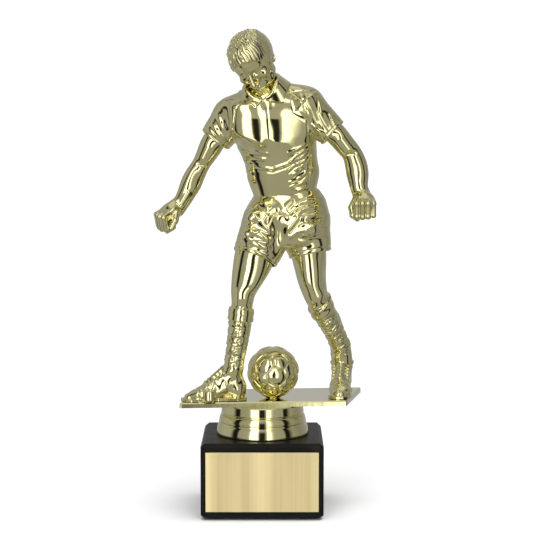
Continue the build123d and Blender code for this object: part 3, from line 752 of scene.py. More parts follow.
def garment(P):
    x, y, z = P[:, 0], P[:, 1], P[:, 2]
    shirt = slices(P, SHIRT, 2.25)
    # chest muscles and belly under the cloth
    lift = chest_lift(x)
    on = step(149.6, 156.0, z - lift) * step(176.0, 170.0, z) * step(3.0, -2.0, y)
    shirt = np.where(on > 0, shirt * (1 - on) + chest(x, y, z) * on, shirt)
    # shoulder blades
    shirt = smin(shirt, nell(P, (-3.6, 8.0, 161.0), (6.0, 3.6, 7.6)), 3.0)
    shirt = smin(shirt, nell(P, (10.8, 7.0, 162.4), (6.0, 3.6, 7.6)), 3.0)
    yoke = smin(ncap(P, (-12.2, 1.4, 166.6), (0.6, -0.2, 170.0), 7.9, 8.2, 14), ncap(P, (0.6, -0.2, 170.0), (16.6, -0.9, 170.2), 8.2, 8.4, 14), 2.5)
    shirt = smin(shirt, yoke, 2.6)
    slope = smin(ncap(P, (-13.5, 1.0, 169.4), (-2.0, -1.8, 175.4), 3.6, 3.6), ncap(P, (19.4, -3.4, 173.2), (5.4, -2.2, 177.2), 4.6, 3.8), 2.0)
    shirt = smin(shirt, slope, 2.4)
    hem = np.abs(z - 132.9 - 0.06 * (x - 8) + 0.2 * np.sin(0.5 * x))
    shirt = shirt + 0.28 * np.exp(-((hem / 0.34) ** 2)) * (z < 135)
    hemline = 131.4 + 0.10 * (x - 8) + 0.5 * np.sin(0.42 * x + 0.6)
    shirt = smax(shirt, hemline - z, 0.6)
    # sleeves
    sl = []
    for (a, b), ra, rb in ((SLV_R, 8.3, 7.0), (SLV_L, 8.5, 6.45)):
        a, b = np.array(a), np.array(b)
        w = unit(b - a)
        body = around(P, [a, b], 12, lambda Q: cone(Q, a - w * 1.5, b, ra, rb, 0.5))
        body = smin(body, around(P, [a], 13, lambda Q: ball(Q, a, ra)), 0.8)
        band = around(P, [b], 10, lambda Q: np.exp(-((((Q - b) @ w + 1.25) / 0.32) ** 2)))
        band = np.where(band > 1.5, 0, band)
        body = body + 0.22 * band
        sl.append((body, a, b, w, rb))
    for body, a, b, w, rb in sl:
        shirt = smin(shirt, body, 1.1)
    # shorts
    short = slices(P, HIPS, 2.3)
    for (a, b), ra, rb in ((SRT_R, 11.7, 9.75), (SRT_L, 11.4, 9.1)):
        a, b = np.array(a), np.array(b)
        w = unit(b - a)
        body = around(P, [a, b], 15, lambda Q: cone(Q, a, b, ra, rb, 0.55))
        body = smin(body, around(P, [a], 15, lambda Q: ball(Q, a, ra - 0.2)), 1.0)
        band = around(P, [b], 13, lambda Q: np.exp(-((((Q - b) @ w + 1.7) / 0.30) ** 2)))
        band = np.where(band > 1.5, 0, band)
        short = smin(short, body + 0.26 * band, 1.3)
    short = smax(short, -nell(P, (6.8, -13.6, 113.0), (4.6, 5.6, 14.0)), 1.3)
    short = smin(short, nell(P, (3.8, 9.0, 121.4), (7.0, 5.8, 7.4)), 2.5)
    short = smin(short, nell(P, (16.2, 9.8, 121.6), (7.0, 5.6, 7.4)), 2.5)
    short = smin(short, nell(P, (-3.6, -6.6, 124.0), (3.4, 3.6, 3.0)), 1.2)
    short = smin(short, nell(P, (-5.0, -7.6, 117.6), (3.4, 3.4, 2.6)), 1.2)
    short = smin(short, nell(P, (19.4, -7.6, 119.6), (4.6, 3.4, 3.0)), 1.2)
    # folds, front and back
    for x1, z1, x2, z2 in SEAMS:
        dx, dz = x2 - x1, z2 - z1
        t = np.clip(((x - x1) * dx + (z - z1) * dz) / (dx * dx + dz * dz), 0, 1)
        away = np.hypot(x - x1 - t * dx, z - z1 - t * dz)
        shirt = shirt + 0.24 * np.exp(-((away / 0.34) ** 2))
    front = step(4.2, -1.5, y)
    back = step(0.0, 6.0, y)
    shirt = shirt - folds(P, FRONT_FOLDS) * front - folds(P, BACK_FOLDS) * back - 0.045 * noise(P, 7.0)
    calm = 1 - 0.92 * np.exp(-(((x - 6.4) / 2.9) ** 2 + ((z - 120.6) / 4.8) ** 2))
    short = short - folds(P, SHORT_FOLDS) * front * calm - folds(P, BACK_FOLDS) * back - 0.05 * noise(P, 5.5)
    d = smin(shirt, short, 0.10)
    # open ends
    for body, a, b, w, rb in sl:
        d = smax(d, -around(P, [b], 12, lambda Q: cone(Q, b - w * 4.2, b + w * 2.0, rb - 1.4, rb - 0.55, 0.4)), 0.25)
    for (a, b), rb in ((SRT_R, 9.75), (SRT_L, 9.1)):
        a, b = np.array(a), np.array(b)
        w = unit(b - a)
        d = smax(d, -around(P, [b], 14, lambda Q: cone(Q, b - w * 4.5, b + w * 2.5, rb - 1.2, rb - 0.6, 0.4)), 0.25)
    # neck opening and collar
    q = P - COL_C
    hh = q @ COL_A
    ff = q @ COL_F
    ss = q @ COL_S
    rad = np.hypot(ff, ss)
    ang = np.arctan2(ss, ff)
    pit = np.maximum(rad - 6.3 - 0.10 * hh, 2.2 - hh)
    d = smax(d, -np.where(rad < 12, pit, FAR), 0.5)
    leaf, edge = collar(rad, hh, ang)
    d = smin(d, smax(d - 0.5, edge, 0.25), 0.06)
    return smin(d, leaf, 0.35)


def collar(rad, hh, ang):
    """Polo collar: a stand round the neck and a fold turned down outside it, open in a V at the front."""
    vee = step(1.25, 0.15, np.abs(ang))
    top = 4.8 - 4.0 * vee
    stand_r = 6.75 + 0.10 * hh
    stand = np.maximum(np.abs(rad - stand_r) - 0.42, np.maximum(hh - top, -4.0 - hh))
    fold_r = 7.9 + 0.64 * (top - hh)
    tip = np.exp(-(((np.abs(ang) - 0.50) / 0.30) ** 2))
    low = top - 4.0 - 2.4 * tip
    fold = smax(np.abs(rad - fold_r) * 0.85 - 0.50, np.maximum(hh - top - 0.1, low - hh), 0.2)
    gap = 0.16 + 0.11 * np.clip(top - hh, 0, 9)
    fold = np.maximum(fold, (gap - np.abs(ang)) * 7.0)
    roll = np.hypot((rad - 7.5), hh - top) - 0.92
    roll = np.maximum(roll, (0.12 - np.abs(ang)) * 7.0)
    out = smin(smin(stand, fold, 0.35), roll, 0.3)
    edge = smax(smax(low - hh, (gap - np.abs(ang)) * 8.5, 0.3), np.maximum(hh - top, rad - fold_r - 2.0), 0.2)
    return np.where(rad < 14, out, FAR), np.where(rad < 16, edge, FAR)


PART_P = np.array([7.5, 1.6, 150.0])
PART_N = unit((0.12, 1.0, 0.085))


def garment_front(P):
    return smax(garment(P), (P - PART_P) @ PART_N + 0.03, 0.12)


def garment_back(P):
    return smax(garment(P), -((P - PART_P) @ PART_N) + 0.03, 0.12)


# ------------------------------------------------------------------ arms and fists
ARM_R = [
    (-18.6, 2.6, 158.8, 4.9, 4.9), (-21.6, 3.3, 153.6, 4.9, 4.9), (-23.9, 3.8, 149.4, 4.3, 4.6), (-25.9, 4.0, 145.9, 3.85, 4.1),
    (-28.4, 3.5, 141.4, 4.25, 4.3), (-30.1, 2.7, 137.6, 4.35, 4.2), (-32.5, 1.4, 132.8, 3.8, 3.6), (-34.4, 0.2, 129.2, 3.35, 2.9), (-35.8, -0.8, 127.0, 3.3, 2.8),
]
ARM_L = [
    (28.4, -4.9, 160.8, 4.7, 4.8), (31.2, -4.9, 158.0, 4.6, 4.8), (34.4, -4.5, 154.2, 4.4, 4.7), (37.3, -4.3, 150.6, 4.25, 4.4),
    (38.9, -5.0, 146.4, 4.6, 4.4), (39.5, -6.3, 142.0, 4.5, 4.2), (40.0, -8.0, 137.8, 3.9, 3.6), (40.6, -9.4, 134.6, 3.5, 2.9), (41.0, -10.4, 132.8, 3.4, 2.8),
]


def fist(P, wrist, A, N, grow=1.0, thumb=1.0):
    """Closed hand, back of the hand along +N, knuckles along +A, thumb on the -B side."""
    A, N = unit(A), np.asarray(N, float)
    N = unit(N - (N @ A) * A)
    B = np.cross(A, N) * -thumb
    q = (P - np.asarray(wrist, float)) / grow
    L = np.stack([q @ A, q @ B, q @ N], 1)
    m = np.linalg.norm(L - np.array([5.0, 0, -2.0]), axis=1) < 14
    out = np.full(len(P), FAR)
    if not m.any():
        return out
    L = L[m]
    d = rbox(L, (4.4, 0.0, -0.5), (4.2, 4.1, 2.3), 1.9)
    d = smin(d, cap(L, (-1.5, 0.4, 0.0), (2.2, 0.2, -0.1), 2.7, 3.0), 1.4)
    d = smin(d, ell(L, (3.0, 3.0, -1.4), (3.4, 1.9, 2.0)), 1.0)
    fingers = np.full(len(L), FAR)
    for i, b in enumerate((-3.55, -1.2, 1.15, 3.4)):
        n0 = (0.75, 1.0, 0.8, 0.35)[i]
        a0 = (7.9, 8.3, 8.0, 7.3)[i]
        r = (1.22, 1.26, 1.22, 1.08)[i]
        one = cap(L, (a0 - 2.6, b * 0.92, n0 - 0.2), (a0, b, n0), r * 0.8, r * 1.08)
        one = smin(one, cap(L, (a0, b, n0), (a0 + 1.5, b * 0.98, -4.3), r * 1.02, r), 0.3)
        one = smin(one, cap(L, (a0 + 1.5, b * 0.98, -4.3), (a0 - 2.0, b * 0.95, -5.7), r, r * 0.93), 0.3)
        one = smin(one, cap(L, (a0 - 2.0, b * 0.95, -5.7), (a0 - 3.6, b * 0.95, -3.4), r * 0.9, r * 0.82), 0.3)
        fingers = smin(fingers, one, 0.12)
    d = smin(d, fingers, 0.55)
    th = cap(L, (1.6, -3.2, -1.2), (4.6, -5.2, -2.7), 1.75, 1.5)
    th = smin(th, cap(L, (4.6, -5.2, -2.7), (7.6, -5.0, -4.6), 1.38, 1.25), 0.35)
    th = smin(th, cap(L, (7.6, -5.0, -4.6), (9.2, -3.2, -5.6), 1.2, 1.0), 0.3)
    d = smin(d, th, 0.45)
    out[m] = d * grow
    return out


def arm_right(P):
    d = tube(P, ARM_R, 5)
    d = smin(d, nell(P, (-30.6, 2.0, 139.4), (2.6, 3.6, 5.6), axes_of((-0.42, -0.2, -0.88))), 1.6)
    d = smin(d, ncap(P, (-24.6, 5.6, 148.0), (-27.4, 6.0, 143.6), 1.8, 1.6), 1.6)
    d = smin(d, ncap(P, (-22.2, 0.8, 153.6), (-24.4, 1.4, 149.0), 2.6, 1.9), 1.8)
    crease = ncap(P, (-29.2, -0.4, 147.2), (-22.4, -0.2, 144.4), 0.5)
    d = smax(d, -crease, 0.5)
    d = smin(d, ncap(P, (-31.0, -1.2, 134.6), (-34.2, -2.2, 129.4), 0.7, 0.7), 0.9)
    return smin(d, fist(P, (-37.1, -0.8, 128.3), (-0.72, -0.42, -0.55), (-0.34, -0.42, 0.84), 1.0, -1.0), 1.1)


def arm_left(P):
    d = tube(P, ARM_L, 5)
    d = smin(d, nell(P, (40.8, -6.4, 143.0), (2.8, 3.2, 5.4), axes_of((0.1, -0.3, -0.95))), 1.6)
    d = smin(d, ncap(P, (37.8, -1.4, 152.2), (39.6, -2.4, 148.4), 1.9, 1.7), 1.6)
    d = smin(d, ncap(P, (32.4, -7.4, 157.0), (35.4, -7.0, 152.8), 2.6, 1.9), 1.8)
    crease = ncap(P, (33.6, -8.6, 149.8), (39.8, -9.0, 151.2), 0.5)
    d = smax(d, -crease, 0.5)
    return smin(d, fist(P, (41.9, -10.2, 133.2), (0.05, -0.90, -0.42), (0.0, -0.42, 0.90), 1.02, 1.0), 1.1)


def axes_of(long_way):
    """Rows of a frame whose third axis runs along long_way."""
    w = unit(long_way)
    u = unit(np.cross(w, (0.0, 1.0, 0.0)))
    return np.stack([u, np.cross(w, u), w])


# ------------------------------------------------------------------ legs, socks and boots
LEG_R = [
    (-2.2, -1.8, 111.5, 8.6, 8.4), (-4.2, -3.2, 104.5, 8.2, 8.4), (-6.4, -4.6, 98.2, 6.7, 7.2), (-7.9, -5.6, 93.0, 5.35, 6.1),
    (-8.4, -6.2, 88.4, 4.55, 5.2), (-8.9, -6.4, 84.0, 4.5, 5.2), (-9.5, -6.6, 78.5, 4.5, 5.4), (-10.4, -7.0, 71.5, 4.2, 4.8), (-11.5, -7.4, 65.5, 3.9, 4.2), (-12.2, -7.6, 60.0, 3.9, 4.2),
]
LEG_L = [
    (19.0, 2.4, 112.5, 7.9, 8.4), (19.9, 1.9, 105.5, 7.2, 8.0), (20.8, 1.0, 98.0, 6.15, 6.9), (22.2, 0.2, 92.0, 5.3, 6.0), (24.0, 0.3, 87.5, 4.7, 5.3),
    (26.4, 2.4, 82.5, 4.4, 5.0), (29.3, 5.8, 77.0, 4.0, 4.9), (31.8, 9.4, 71.8, 3.9, 4.6), (33.8, 12.0, 66.5, 4.2, 4.4), (34.2, 13.2, 61.0, 4.6, 4.6),
]
TOP = 47.3


def boot(P, heel, toe, wide):
    heel, toe = np.array([*heel, TOP]), np.array([*toe, TOP])
    L = np.linalg.norm(toe - heel)
    w = (toe - heel) / L
    sd = np.array([-w[1], w[0], 0.0])
    q = P - heel
    B = np.stack([q @ w, q @ sd / wide, q[:, 2]], 1)
    k = L / 27.0
    m = (B[:, 0] > -5) & (B[:, 0] < L + 5) & (np.abs(B[:, 1]) < 9) & (B[:, 2] < 20)
    out = np.full(len(P), FAR)
    if not m.any():
        return out
    B = B[m]
    up = tube(B, [
        (23.4 * k, 0.2, 1.6, 2.6, 2.0), (20.6 * k, 0.1, 2.5, 3.9, 2.6), (16.6 * k, 0.0, 3.7, 4.1, 3.7), (12.6 * k, 0.0, 5.2, 3.8, 4.7),
        (9.0 * k, 0.0, 7.2, 3.8, 5.0), (6.4 * k, 0.0, 10.0, 4.1, 4.4), (5.6 * k, 0.0, 12.6, 4.2, 4.3)], 4, x_hint=(0, 1, 0))
    up = smin(up, ell(B, (4.2 * k, 0, 5.0), (4.2, 3.7, 5.6)), 1.6)
    up = smin(up, ell(B, (18.8 * k, 1.0, 2.6), (4.2, 3.6, 2.6)), 1.4)
    up = up - 0.13 * noise(B, 2.3) * step(1.0, 2.6, B[:, 2])
    # stitched panels
    up = up + 0.22 * np.exp(-(((B[:, 0] - 21.0 * k + 0.10 * B[:, 1] ** 2) / 0.32) ** 2)) * step(1.2, 2.2, B[:, 2])
    up = up + 0.18 * np.exp(-(((B[:, 0] - 8.2 * k - 0.25 * (B[:, 2] - 5)) / 0.30) ** 2)) * step(1.2, 2.2, B[:, 2]) * step(9.4, 8.0, B[:, 2])
    # ankle collar roll
    roll = ring(B, (5.9 * k, 0, 13.0), (0.22, 0, 1), 3.85, 0.85)
    up = smin(up, roll, 0.5)
    # tongue and laces up the instep
    tongue = cap(B, (16.6 * k, 0, 7.0), (9.3 * k, 0, 13.3), 1.25, 1.6)
    up = smin(up, tongue, 0.7)
    for i in range(6):
        t = i / 5
        c = np.array([16.9 * k - 7.0 * k * t, 0, 7.4 + 5.6 * t])
        up = smin(up, cap(B, c + (-0.3, -2.7, -1.0), c + (0.35, 0.0, 0.72), 0.38), 0.16)
        up = smin(up, cap(B, c + (0.35, 0.0, 0.72), c + (-0.3, 2.7, -1.0), 0.38), 0.16)
        for sg in (-1, 1):
            up = smin(up, ell(B, c + (-0.35, sg * 2.95, -1.25), (0.62, 0.5, 0.62)), 0.16)
    # sole with a waist, welt and heel
    h = B[:, 2]
    half = np.interp(B[:, 0] / k, [0, 1.5, 4, 8, 12, 16, 20, 23, 25.2, 26.6, 27], [1.6, 3.0, 3.9, 3.4, 3.2, 3.9, 4.6, 4.3, 3.3, 1.8, 0.6])
    mid = np.interp(B[:, 0] / k, [0, 12, 20, 27], [0, 0.1, 0.5, 0.2])
    edge = np.maximum(np.abs(B[:, 1] - mid) - half - 0.15, np.maximum(-B[:, 0], B[:, 0] - L))
    sole = smax(edge * 0.92, np.maximum(h - 1.35, -h), 0.35)
    sole = sole + 0.16 * np.exp(-(((h - 0.72) / 0.2) ** 2))
    d = smin(up, sole, 0.22)
    out[m] = smax(d, -h, 0.15)
    return out


def sock(d, P, along, deep, top, bottom, phase, soft_side=None):
    """Rib rolls and crumples of a football sock on the leg field d. along is the height up the leg."""
    on = step(top + 0.2, top - 0.5, along) * step(bottom - 1.0, bottom + 0.6, along)
    wave = along + 0.75 * noise(P, 6.5) + phase
    roll = np.abs(np.sin(math.pi * wave / 4.15)) ** 0.8 - 0.45
    fine = np.sin(2 * math.pi * (wave + 0.45 * noise(P, 2.8)) / 1.55)
    body = 0.25 + deep * (0.62 * roll + 0.16 * fine) + 0.10 * noise(P, 1.5)
    if soft_side is not None:
        body = 0.25 + (body - 0.25) * (0.30 + 0.70 * soft_side)
    cuff = step(top + 0.1, top - 0.5, along) * step(top - 6.4, top - 5.6, along)
    edge = np.exp(-(((along - top + 6.0) / 0.5) ** 2))
    return d - on * (body * (1 - cuff) + cuff * (0.95 + 0.10 * np.sin(2 * math.pi * along / 3.1)) - 0.30 * edge)


def leg_right(P):
    d = tube(P, LEG_R, 5)
    # knee cap, thigh muscle, calf
    d = smin(d, nell(P, (-8.3, -10.0, 91.4), (3.0, 2.0, 3.4)), 1.8)
    d = smin(d, nell(P, (-3.2, -7.6, 101.0), (4.2, 3.2, 8.0), axes_of((-0.35, -0.2, -0.9))), 2.6)
    d = smin(d, nell(P, (-8.8, -2.8, 79.5), (3.8, 3.0, 7.4)), 2.0)
    d = smax(d, -ncap(P, (-11.8, -11.4, 95.0), (-11.9, -11.0, 88.4), 0.7), 1.2)
    a = P[:, 2] + 0.12 * (P[:, 0] + 9)
    turn = step(-2.0, 3.0, -(P[:, 0] + 9.6) + 0.25 * (-(P[:, 1] + 7)))
    d = sock(d, P, a, 0.62, 86.6, 60.5, 0.8, turn)
    d = smin(d, boot(P, (-6.6, -6.3), (-34.2, -9.9), 1.0), 0.5)
    # ball of the foot
    drum = near(P, (-27, -18, 46), (-18, -8, 54), lambda Q: smax(np.hypot(Q[:, 0] + 22.0, Q[:, 1] + 12.9) - 2.6, np.abs(Q[:, 2] - 49.9) - 2.45, 1.2))
    d = smin(d, drum, 0.3)
    d = np.minimum(d, np.maximum(ncap(P, (-14.5, -7.5, 45.4), (-14.5, -7.5, 49.0), 1.6), 45.5 - P[:, 2]))
    return np.minimum(d, np.maximum(ncap(P, (-25.5, -8.6, 45.4), (-25.5, -8.6, 49.0), 1.6), 45.5 - P[:, 2]))


def leg_left(P):
    d = tube(P, LEG_L, 5)
    d = smin(d, nell(P, (22.6, -4.4, 91.4), (3.4, 2.4, 3.6)), 1.8)
    d = smin(d, nell(P, (20.2, -4.2, 101.0), (4.2, 3.2, 8.4), axes_of((0.12, -0.12, -0.98))), 2.6)
    d = smin(d, nell(P, (29.0, 8.4, 80.0), (3.6, 3.4, 7.4), axes_of((0.38, 0.45, -0.8))), 2.0)
    w = unit((0.46, 0.42, -0.78))
    along = 86.8 - (P - np.array([24.4, 0.8, 86.8])) @ w
    along = along - 0.10 * (P[:, 0] - 24.4)
    d = sock(d, P, along, 0.62, 88.4, 60.0, 2.1)
    d = smin(d, boot(P, (35.0, 19.8), (31.7, -6.8), 1.10), 0.5)
    d = np.minimum(d, np.maximum(ncap(P, (36.4, 13.8, 45.4), (36.4, 13.8, 49.0), 1.6), 45.5 - P[:, 2]))
    return np.minimum(d, np.maximum(ncap(P, (33.8, 0.6, 45.4), (33.8, 0.6, 49.0), 1.6), 45.5 - P[:, 2]))


# ------------------------------------------------------------------ football
BALL_C = np.array([4.5, -0.1, TOP + 11.1 - 0.25])
BALL_R = 11.1


def ball_faces():
    """Face directions and plane distances of a truncated icosahedron, turned a little."""
    g = (1 + 5**0.5) / 2
    v = [unit(p) for s1 in (-1, 1) for s2 in (-1, 1) for p in ((0, s1, s2 * g), (s1, s2 * g, 0), (s2 * g, 0, s1))]
    v = np.array(v)
    dots = v @ v.T
    nb = dots > 0.44
    np.fill_diagonal(nb, False)
    hexes = []
    for i in range(12):
        for j in range(i + 1, 12):
            for k in range(j + 1, 12):
                if nb[i, j] and nb[j, k] and nb[i, k]:
                    hexes.append(unit(v[i] + v[j] + v[k]))
    F = np.vstack([v, hexes])
    H = np.array([2.32744] * 12 + [2.26728] * 20) / 2.47802
    ax, ay, az = 0.42, 0.30, 0.15
    Rx = np.array([[1, 0, 0], [0, math.cos(ax), -math.sin(ax)], [0, math.sin(ax), math.cos(ax)]])
    Ry = np.array([[math.cos(ay), 0, math.sin(ay)], [0, 1, 0], [-math.sin(ay), 0, math.cos(ay)]])
    Rz = np.array([[math.cos(az), -math.sin(az), 0], [math.sin(az), math.cos(az), 0], [0, 0, 1]])
    return F @ (Rz @ Ry @ Rx).T, H


BF, BH = ball_faces()


def football(P):
    q = P - BALL_C
    r = np.linalg.norm(q, axis=1) + 1e-9
    n = q / r[:, None]
    v = (n @ BF.T) / BH
    order = np.argpartition(-v, 1, axis=1)[:, :2]
    v1 = np.take_along_axis(v, order[:, :1], 1)[:, 0]
    v2 = np.take_along_axis(v, order[:, 1:], 1)[:, 0]
    g = np.linalg.norm(BF[order[:, 0]] / BH[order[:, 0], None] - BF[order[:, 1]] / BH[order[:, 1], None], axis=1)
    s = np.abs(v1 - v2) / g * BALL_R
    d = r - BALL_R + 0.34 * np.exp(-((s / 0.30) ** 2)) + 0.30 * np.exp(-((s / 1.5) ** 2))
    foot = ncap(P, (BALL_C[0], BALL_C[1], 45.4), (BALL_C[0], BALL_C[1], 49.0), 1.6)
    d = smax(d, TOP - P[:, 2], 0.15)
    d = smin(d, smax(np.hypot(q[:, 0], q[:, 1]) - 3.0, np.abs(P[:, 2] - TOP - 0.4) - 0.4, 0.2), 0.2)
    return np.minimum(d, np.maximum(foot, 45.5 - P[:, 2]))


def ball_front(P):
    return smax(football(P), P[:, 1] - BALL_C[1] + 0.03, 0.1)


def ball_back(P):
    return smax(football(P), -(P[:, 1] - BALL_C[1]) + 0.03, 0.1)


# ------------------------------------------------------------------ make the figure
def make(name, field, lo, hi, h, mat, body, node):
    V, Q, N = surface(field, lo, hi, h)
    ob = mesh_piece(name, V, Q, N, mat)
    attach(ob, body)
    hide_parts(node)
    return ob


make("figure_head", head_field, (-19, -26, 166), (10, 10, 206), 0.24, M_HAIR, "figure", "head")
make("figure_shirt_front", garment_front, (-30, -17, 98), (39, 9, 186), 0.40, M_SHIRT, "figure", "torso_front_shell")
make("figure_shirt_back", garment_back, (-30, -12, 98), (39, 20, 186), 0.46, M_SHIRT, "figure", "torso_back_shell")
make("figure_arm_right", arm_right, (-50, -16, 112), (-11, 12, 166), 0.32, M_SKIN, "figure", "right_arm")
make("figure_arm_left", arm_left, (21, -26, 116), (51, 4, 168), 0.32, M_SKIN, "figure", "left_arm")
make("figure_leg_right", leg_right, (-38, -18, 44), (9, 10, 116), 0.36, M_SKIN, "figure", "right_leg")
make("figure_leg_left", leg_left, (8, -12, 44), (46, 26, 117), 0.36, M_SKIN, "figure", "left_leg")
make("football_front", ball_front, (-8, -13, 44.6), (17, 1.5, 71), 0.30, M_BALL, "figure", "ball_front_half")
make("football_back", ball_back, (-8, -1.5, 44.6), (17, 13, 71), 0.32, M_BALL, "figure", "ball_back_half")


# ------------------------------------------------------------------ M6 thread on the rod
def thread(name, z0, z1, r_out, r_in, pitch, mat):
    turn = 40
    per = 8
    n = int(round((z1 - z0) / pitch * per))
    V, Q = [], []
    for i in range(n + 1):
        z = z0 + (z1 - z0) * i / n
        ends = min(1.0, (z - z0) / 0.8, (z1 - z) / 0.8)
        for j in range(turn):
            a = 2 * math.pi * j / turn
            ph = ((z / pitch) - a / (2 * math.pi)) % 1.0
            saw = 1 - abs(2 * ph - 1)
            r = r_in + (r_out - r_in) * max(0.0, min(1.0, saw * 1.35 - 0.12)) * max(0.0, ends)
            V.append((r * math.cos(a), r * math.sin(a), z))
    for i in range(n):
        for j in range(turn):
            k = (j + 1) % turn
            Q.append((i * turn + j, i * turn + k, (i + 1) * turn + k, (i + 1) * turn + j))
    V = np.array(V)
    me = bpy.data.meshes.new(name)
    faces = [tuple(q) for q in Q] + [tuple(range(turn - 1, -1, -1)), tuple(n * turn + j for j in range(turn))]
    me.from_pydata((V / 1000).tolist(), [], faces)
    me.materials.append(mat)
    me.update()
    ob = bpy.data.objects.new(name, me)
    bpy.context.scene.collection.objects.link(ob)
    return ob


lo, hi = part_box("threaded_rod")
rod = thread("rod_thread", lo.z * 1000, hi.z * 1000, 2.9, 2.35, 1.0, M_ROD)
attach(rod, "figure")
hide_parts("threaded_rod")

# ------------------------------------------------------------------ floor
me = bpy.data.meshes.new("floor")
R, seg = 14.0, 96
me.from_pydata([(R * math.cos(2 * math.pi * i / seg), R * math.sin(2 * math.pi * i / seg), 0.0) for i in range(seg)], [], [tuple(range(seg))])
floor = bpy.data.objects.new("floor", me)
bpy.context.scene.collection.objects.link(floor)
fm, nt, b = nodes_of("floor_paper")
n = texnoise(nt, 3.0, 3.0)
r = ramp(nt, [(0.3, (0.86, 0.86, 0.86)), (0.7, (0.88, 0.88, 0.88))], n.outputs["Fac"])
nt.links.new(r.outputs["Color"], b.inputs["Base Color"])
b.inputs["Roughness"].default_value = 0.95
b.inputs["Specular IOR Level"].default_value = 0.0
me.materials.append(fm)
floor.visible_glossy = False


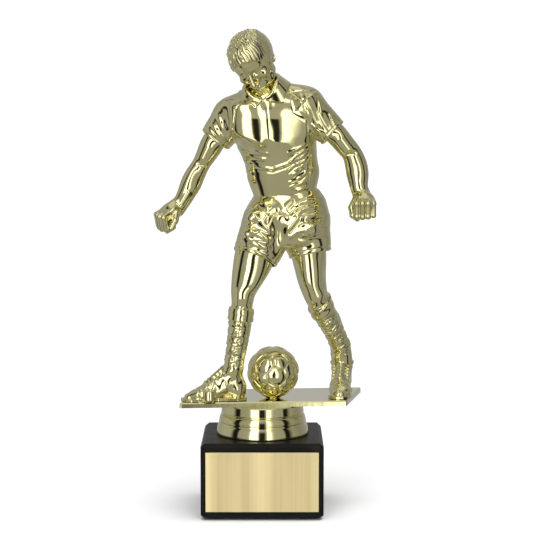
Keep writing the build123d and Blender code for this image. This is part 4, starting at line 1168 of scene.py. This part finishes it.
# ------------------------------------------------------------------ studio
def studio():
    """A pale studio: what the polished metal mirrors is a grey room with tall white screens and narrow dark gaps between them."""
    world = bpy.data.worlds.new("studio")
    bpy.context.scene.world = world
    world.use_nodes = True
    nt = world.node_tree
    bg = nt.nodes["Background"]
    out = nt.nodes["World Output"]
    tc = nt.nodes.new("ShaderNodeTexCoord")
    sx = nt.nodes.new("ShaderNodeSeparateXYZ")
    nt.links.new(tc.outputs["Generated"], sx.inputs[0])

    def math_node(op, a, b=None):
        m = nt.nodes.new("ShaderNodeMath")
        m.operation = op
        for i, v in enumerate((a, b)):
            if v is None:
                continue
            if isinstance(v, (int, float)):
                m.inputs[i].default_value = v
            else:
                nt.links.new(v, m.inputs[i])
        return m.outputs[0]

    ny = math_node("MULTIPLY", sx.outputs["Y"], -1.0)
    az = math_node("ARCTAN2", sx.outputs["X"], ny)
    turn = math_node("ADD", math_node("MULTIPLY", az, 0.5 / math.pi), 0.5)

    def g(v):
        return (v, v, v)

    def at(deg):
        return 0.5 + deg / 360.0

    stops = [
        (at(-180), 0.46), (at(-140), 0.34), (at(-112), 0.42), (at(-88), 0.42), (at(-82), 0.20), (at(-77), 0.012), (at(-66), 0.012),
        (at(-62), 0.34), (at(-38), 0.40), (at(-33), 0.60), (at(-30), 2.5), (at(-12), 2.3), (at(-9), 0.30), (at(-6), 0.02), (at(5), 0.02),
        (at(8), 0.30), (at(11), 0.6), (at(13), 2.3), (at(20), 2.0), (at(26), 0.75), (at(31), 0.42), (at(58), 0.36), (at(61), 0.012), (at(71), 0.012),
        (at(77), 0.20), (at(84), 0.34), (at(110), 0.26), (at(135), 0.32), (at(180), 0.46),
    ]
    r = ramp(nt, [(p, g(v / 2.5)) for p, v in stops], turn)
    sides = [(p, v) for p, v in stops if abs(p - 0.5) * 360 > 36]
    low = ramp(nt, [(p, g(v / 2.5)) for p, v in sides], turn)
    el = math_node("ARCSINE", sx.outputs["Z"])
    up = math_node("ADD", math_node("MULTIPLY", el, 1.0 / math.pi), 0.5)

    def ae(deg):
        return 0.5 + deg / 180.0

    # the screens either side of the camera stop short of the floor; the dark gaps at the sides run lower
    screens = ramp(nt, [(ae(-90), g(0.0)), (ae(-22), g(0.0)), (ae(-15), g(1.0)), (ae(90), g(1.0))], up)
    keep = ramp(nt, [(ae(-90), g(0.0)), (ae(-62), g(0.0)), (ae(-48), g(1.0)), (ae(54), g(1.0)), (ae(64), g(0.0)), (ae(90), g(0.0))], up)
    roof = ramp(nt, [(ae(-90), g(0.08)), (ae(-70), g(0.12)), (ae(-52), g(0.16)), (ae(58), g(0.16)), (ae(66), g(0.13)), (ae(72), g(0.26)), (ae(82), g(0.30)), (ae(90), g(0.2))], up)

    def mix(fac, a, b):
        mx = nt.nodes.new("ShaderNodeMix")
        mx.data_type = "RGBA"
        nt.links.new(fac, mx.inputs[0])
        nt.links.new(a, mx.inputs[6])
        nt.links.new(b, mx.inputs[7])
        return mx.outputs[2]

    # the dark gap around the camera has a top; above it the same wall carries on
    open_stops = [(p, v) for p, v in stops if not -9.5 < (p - 0.5) * 360 < 11.5]
    open_stops = sorted(open_stops + [(at(-9), 0.42), (at(11), 0.42)])
    above = ramp(nt, [(p, g(v / 2.5)) for p, v in open_stops], turn)
    top = ramp(nt, [(ae(-90), g(0.0)), (ae(18), g(0.0)), (ae(30), g(1.0)), (ae(90), g(1.0))], up)
    front = mix(top.outputs["Color"], r.outputs["Color"], above.outputs["Color"])
    wall = mix(screens.outputs["Color"], low.outputs["Color"], front)
    nt.links.new(mix(keep.outputs["Color"], roof.outputs["Color"], wall), bg.inputs["Color"])
    bg.inputs["Strength"].default_value = 2.5
    plain = nt.nodes.new("ShaderNodeBackground")
    plain.inputs["Color"].default_value = (1, 1, 1, 1)
    plain.inputs["Strength"].default_value = 1.05
    lp = nt.nodes.new("ShaderNodeLightPath")
    ms = nt.nodes.new("ShaderNodeMixShader")
    nt.links.new(lp.outputs["Is Camera Ray"], ms.inputs[0])
    nt.links.new(bg.outputs[0], ms.inputs[1])
    nt.links.new(plain.outputs[0], ms.inputs[2])
    nt.links.new(ms.outputs[0], out.inputs["Surface"])


studio()


def area(name, at, to, size, watts, size_y=None):
    d = bpy.data.lights.new(name, "AREA")
    d.energy = watts
    d.shape = "RECTANGLE"
    d.size = size
    d.size_y = size_y or size
    ob = bpy.data.objects.new(name, d)
    bpy.context.scene.collection.objects.link(ob)
    ob.location = at
    ob.rotation_euler = (Vector(to) - Vector(at)).to_track_quat("-Z", "Y").to_euler()
    ob.visible_glossy = False
    ob.visible_camera = False
    return ob


sun = bpy.data.lights.new("sky_fill", "SUN")
sun.energy = 2.6
sun.angle = math.radians(70)
so = bpy.data.objects.new("sky_fill", sun)
bpy.context.scene.collection.objects.link(so)
so.rotation_euler = (math.radians(12), math.radians(8), 0)
so.visible_glossy = False

bpy.context.scene.view_settings.view_transform = "Standard"
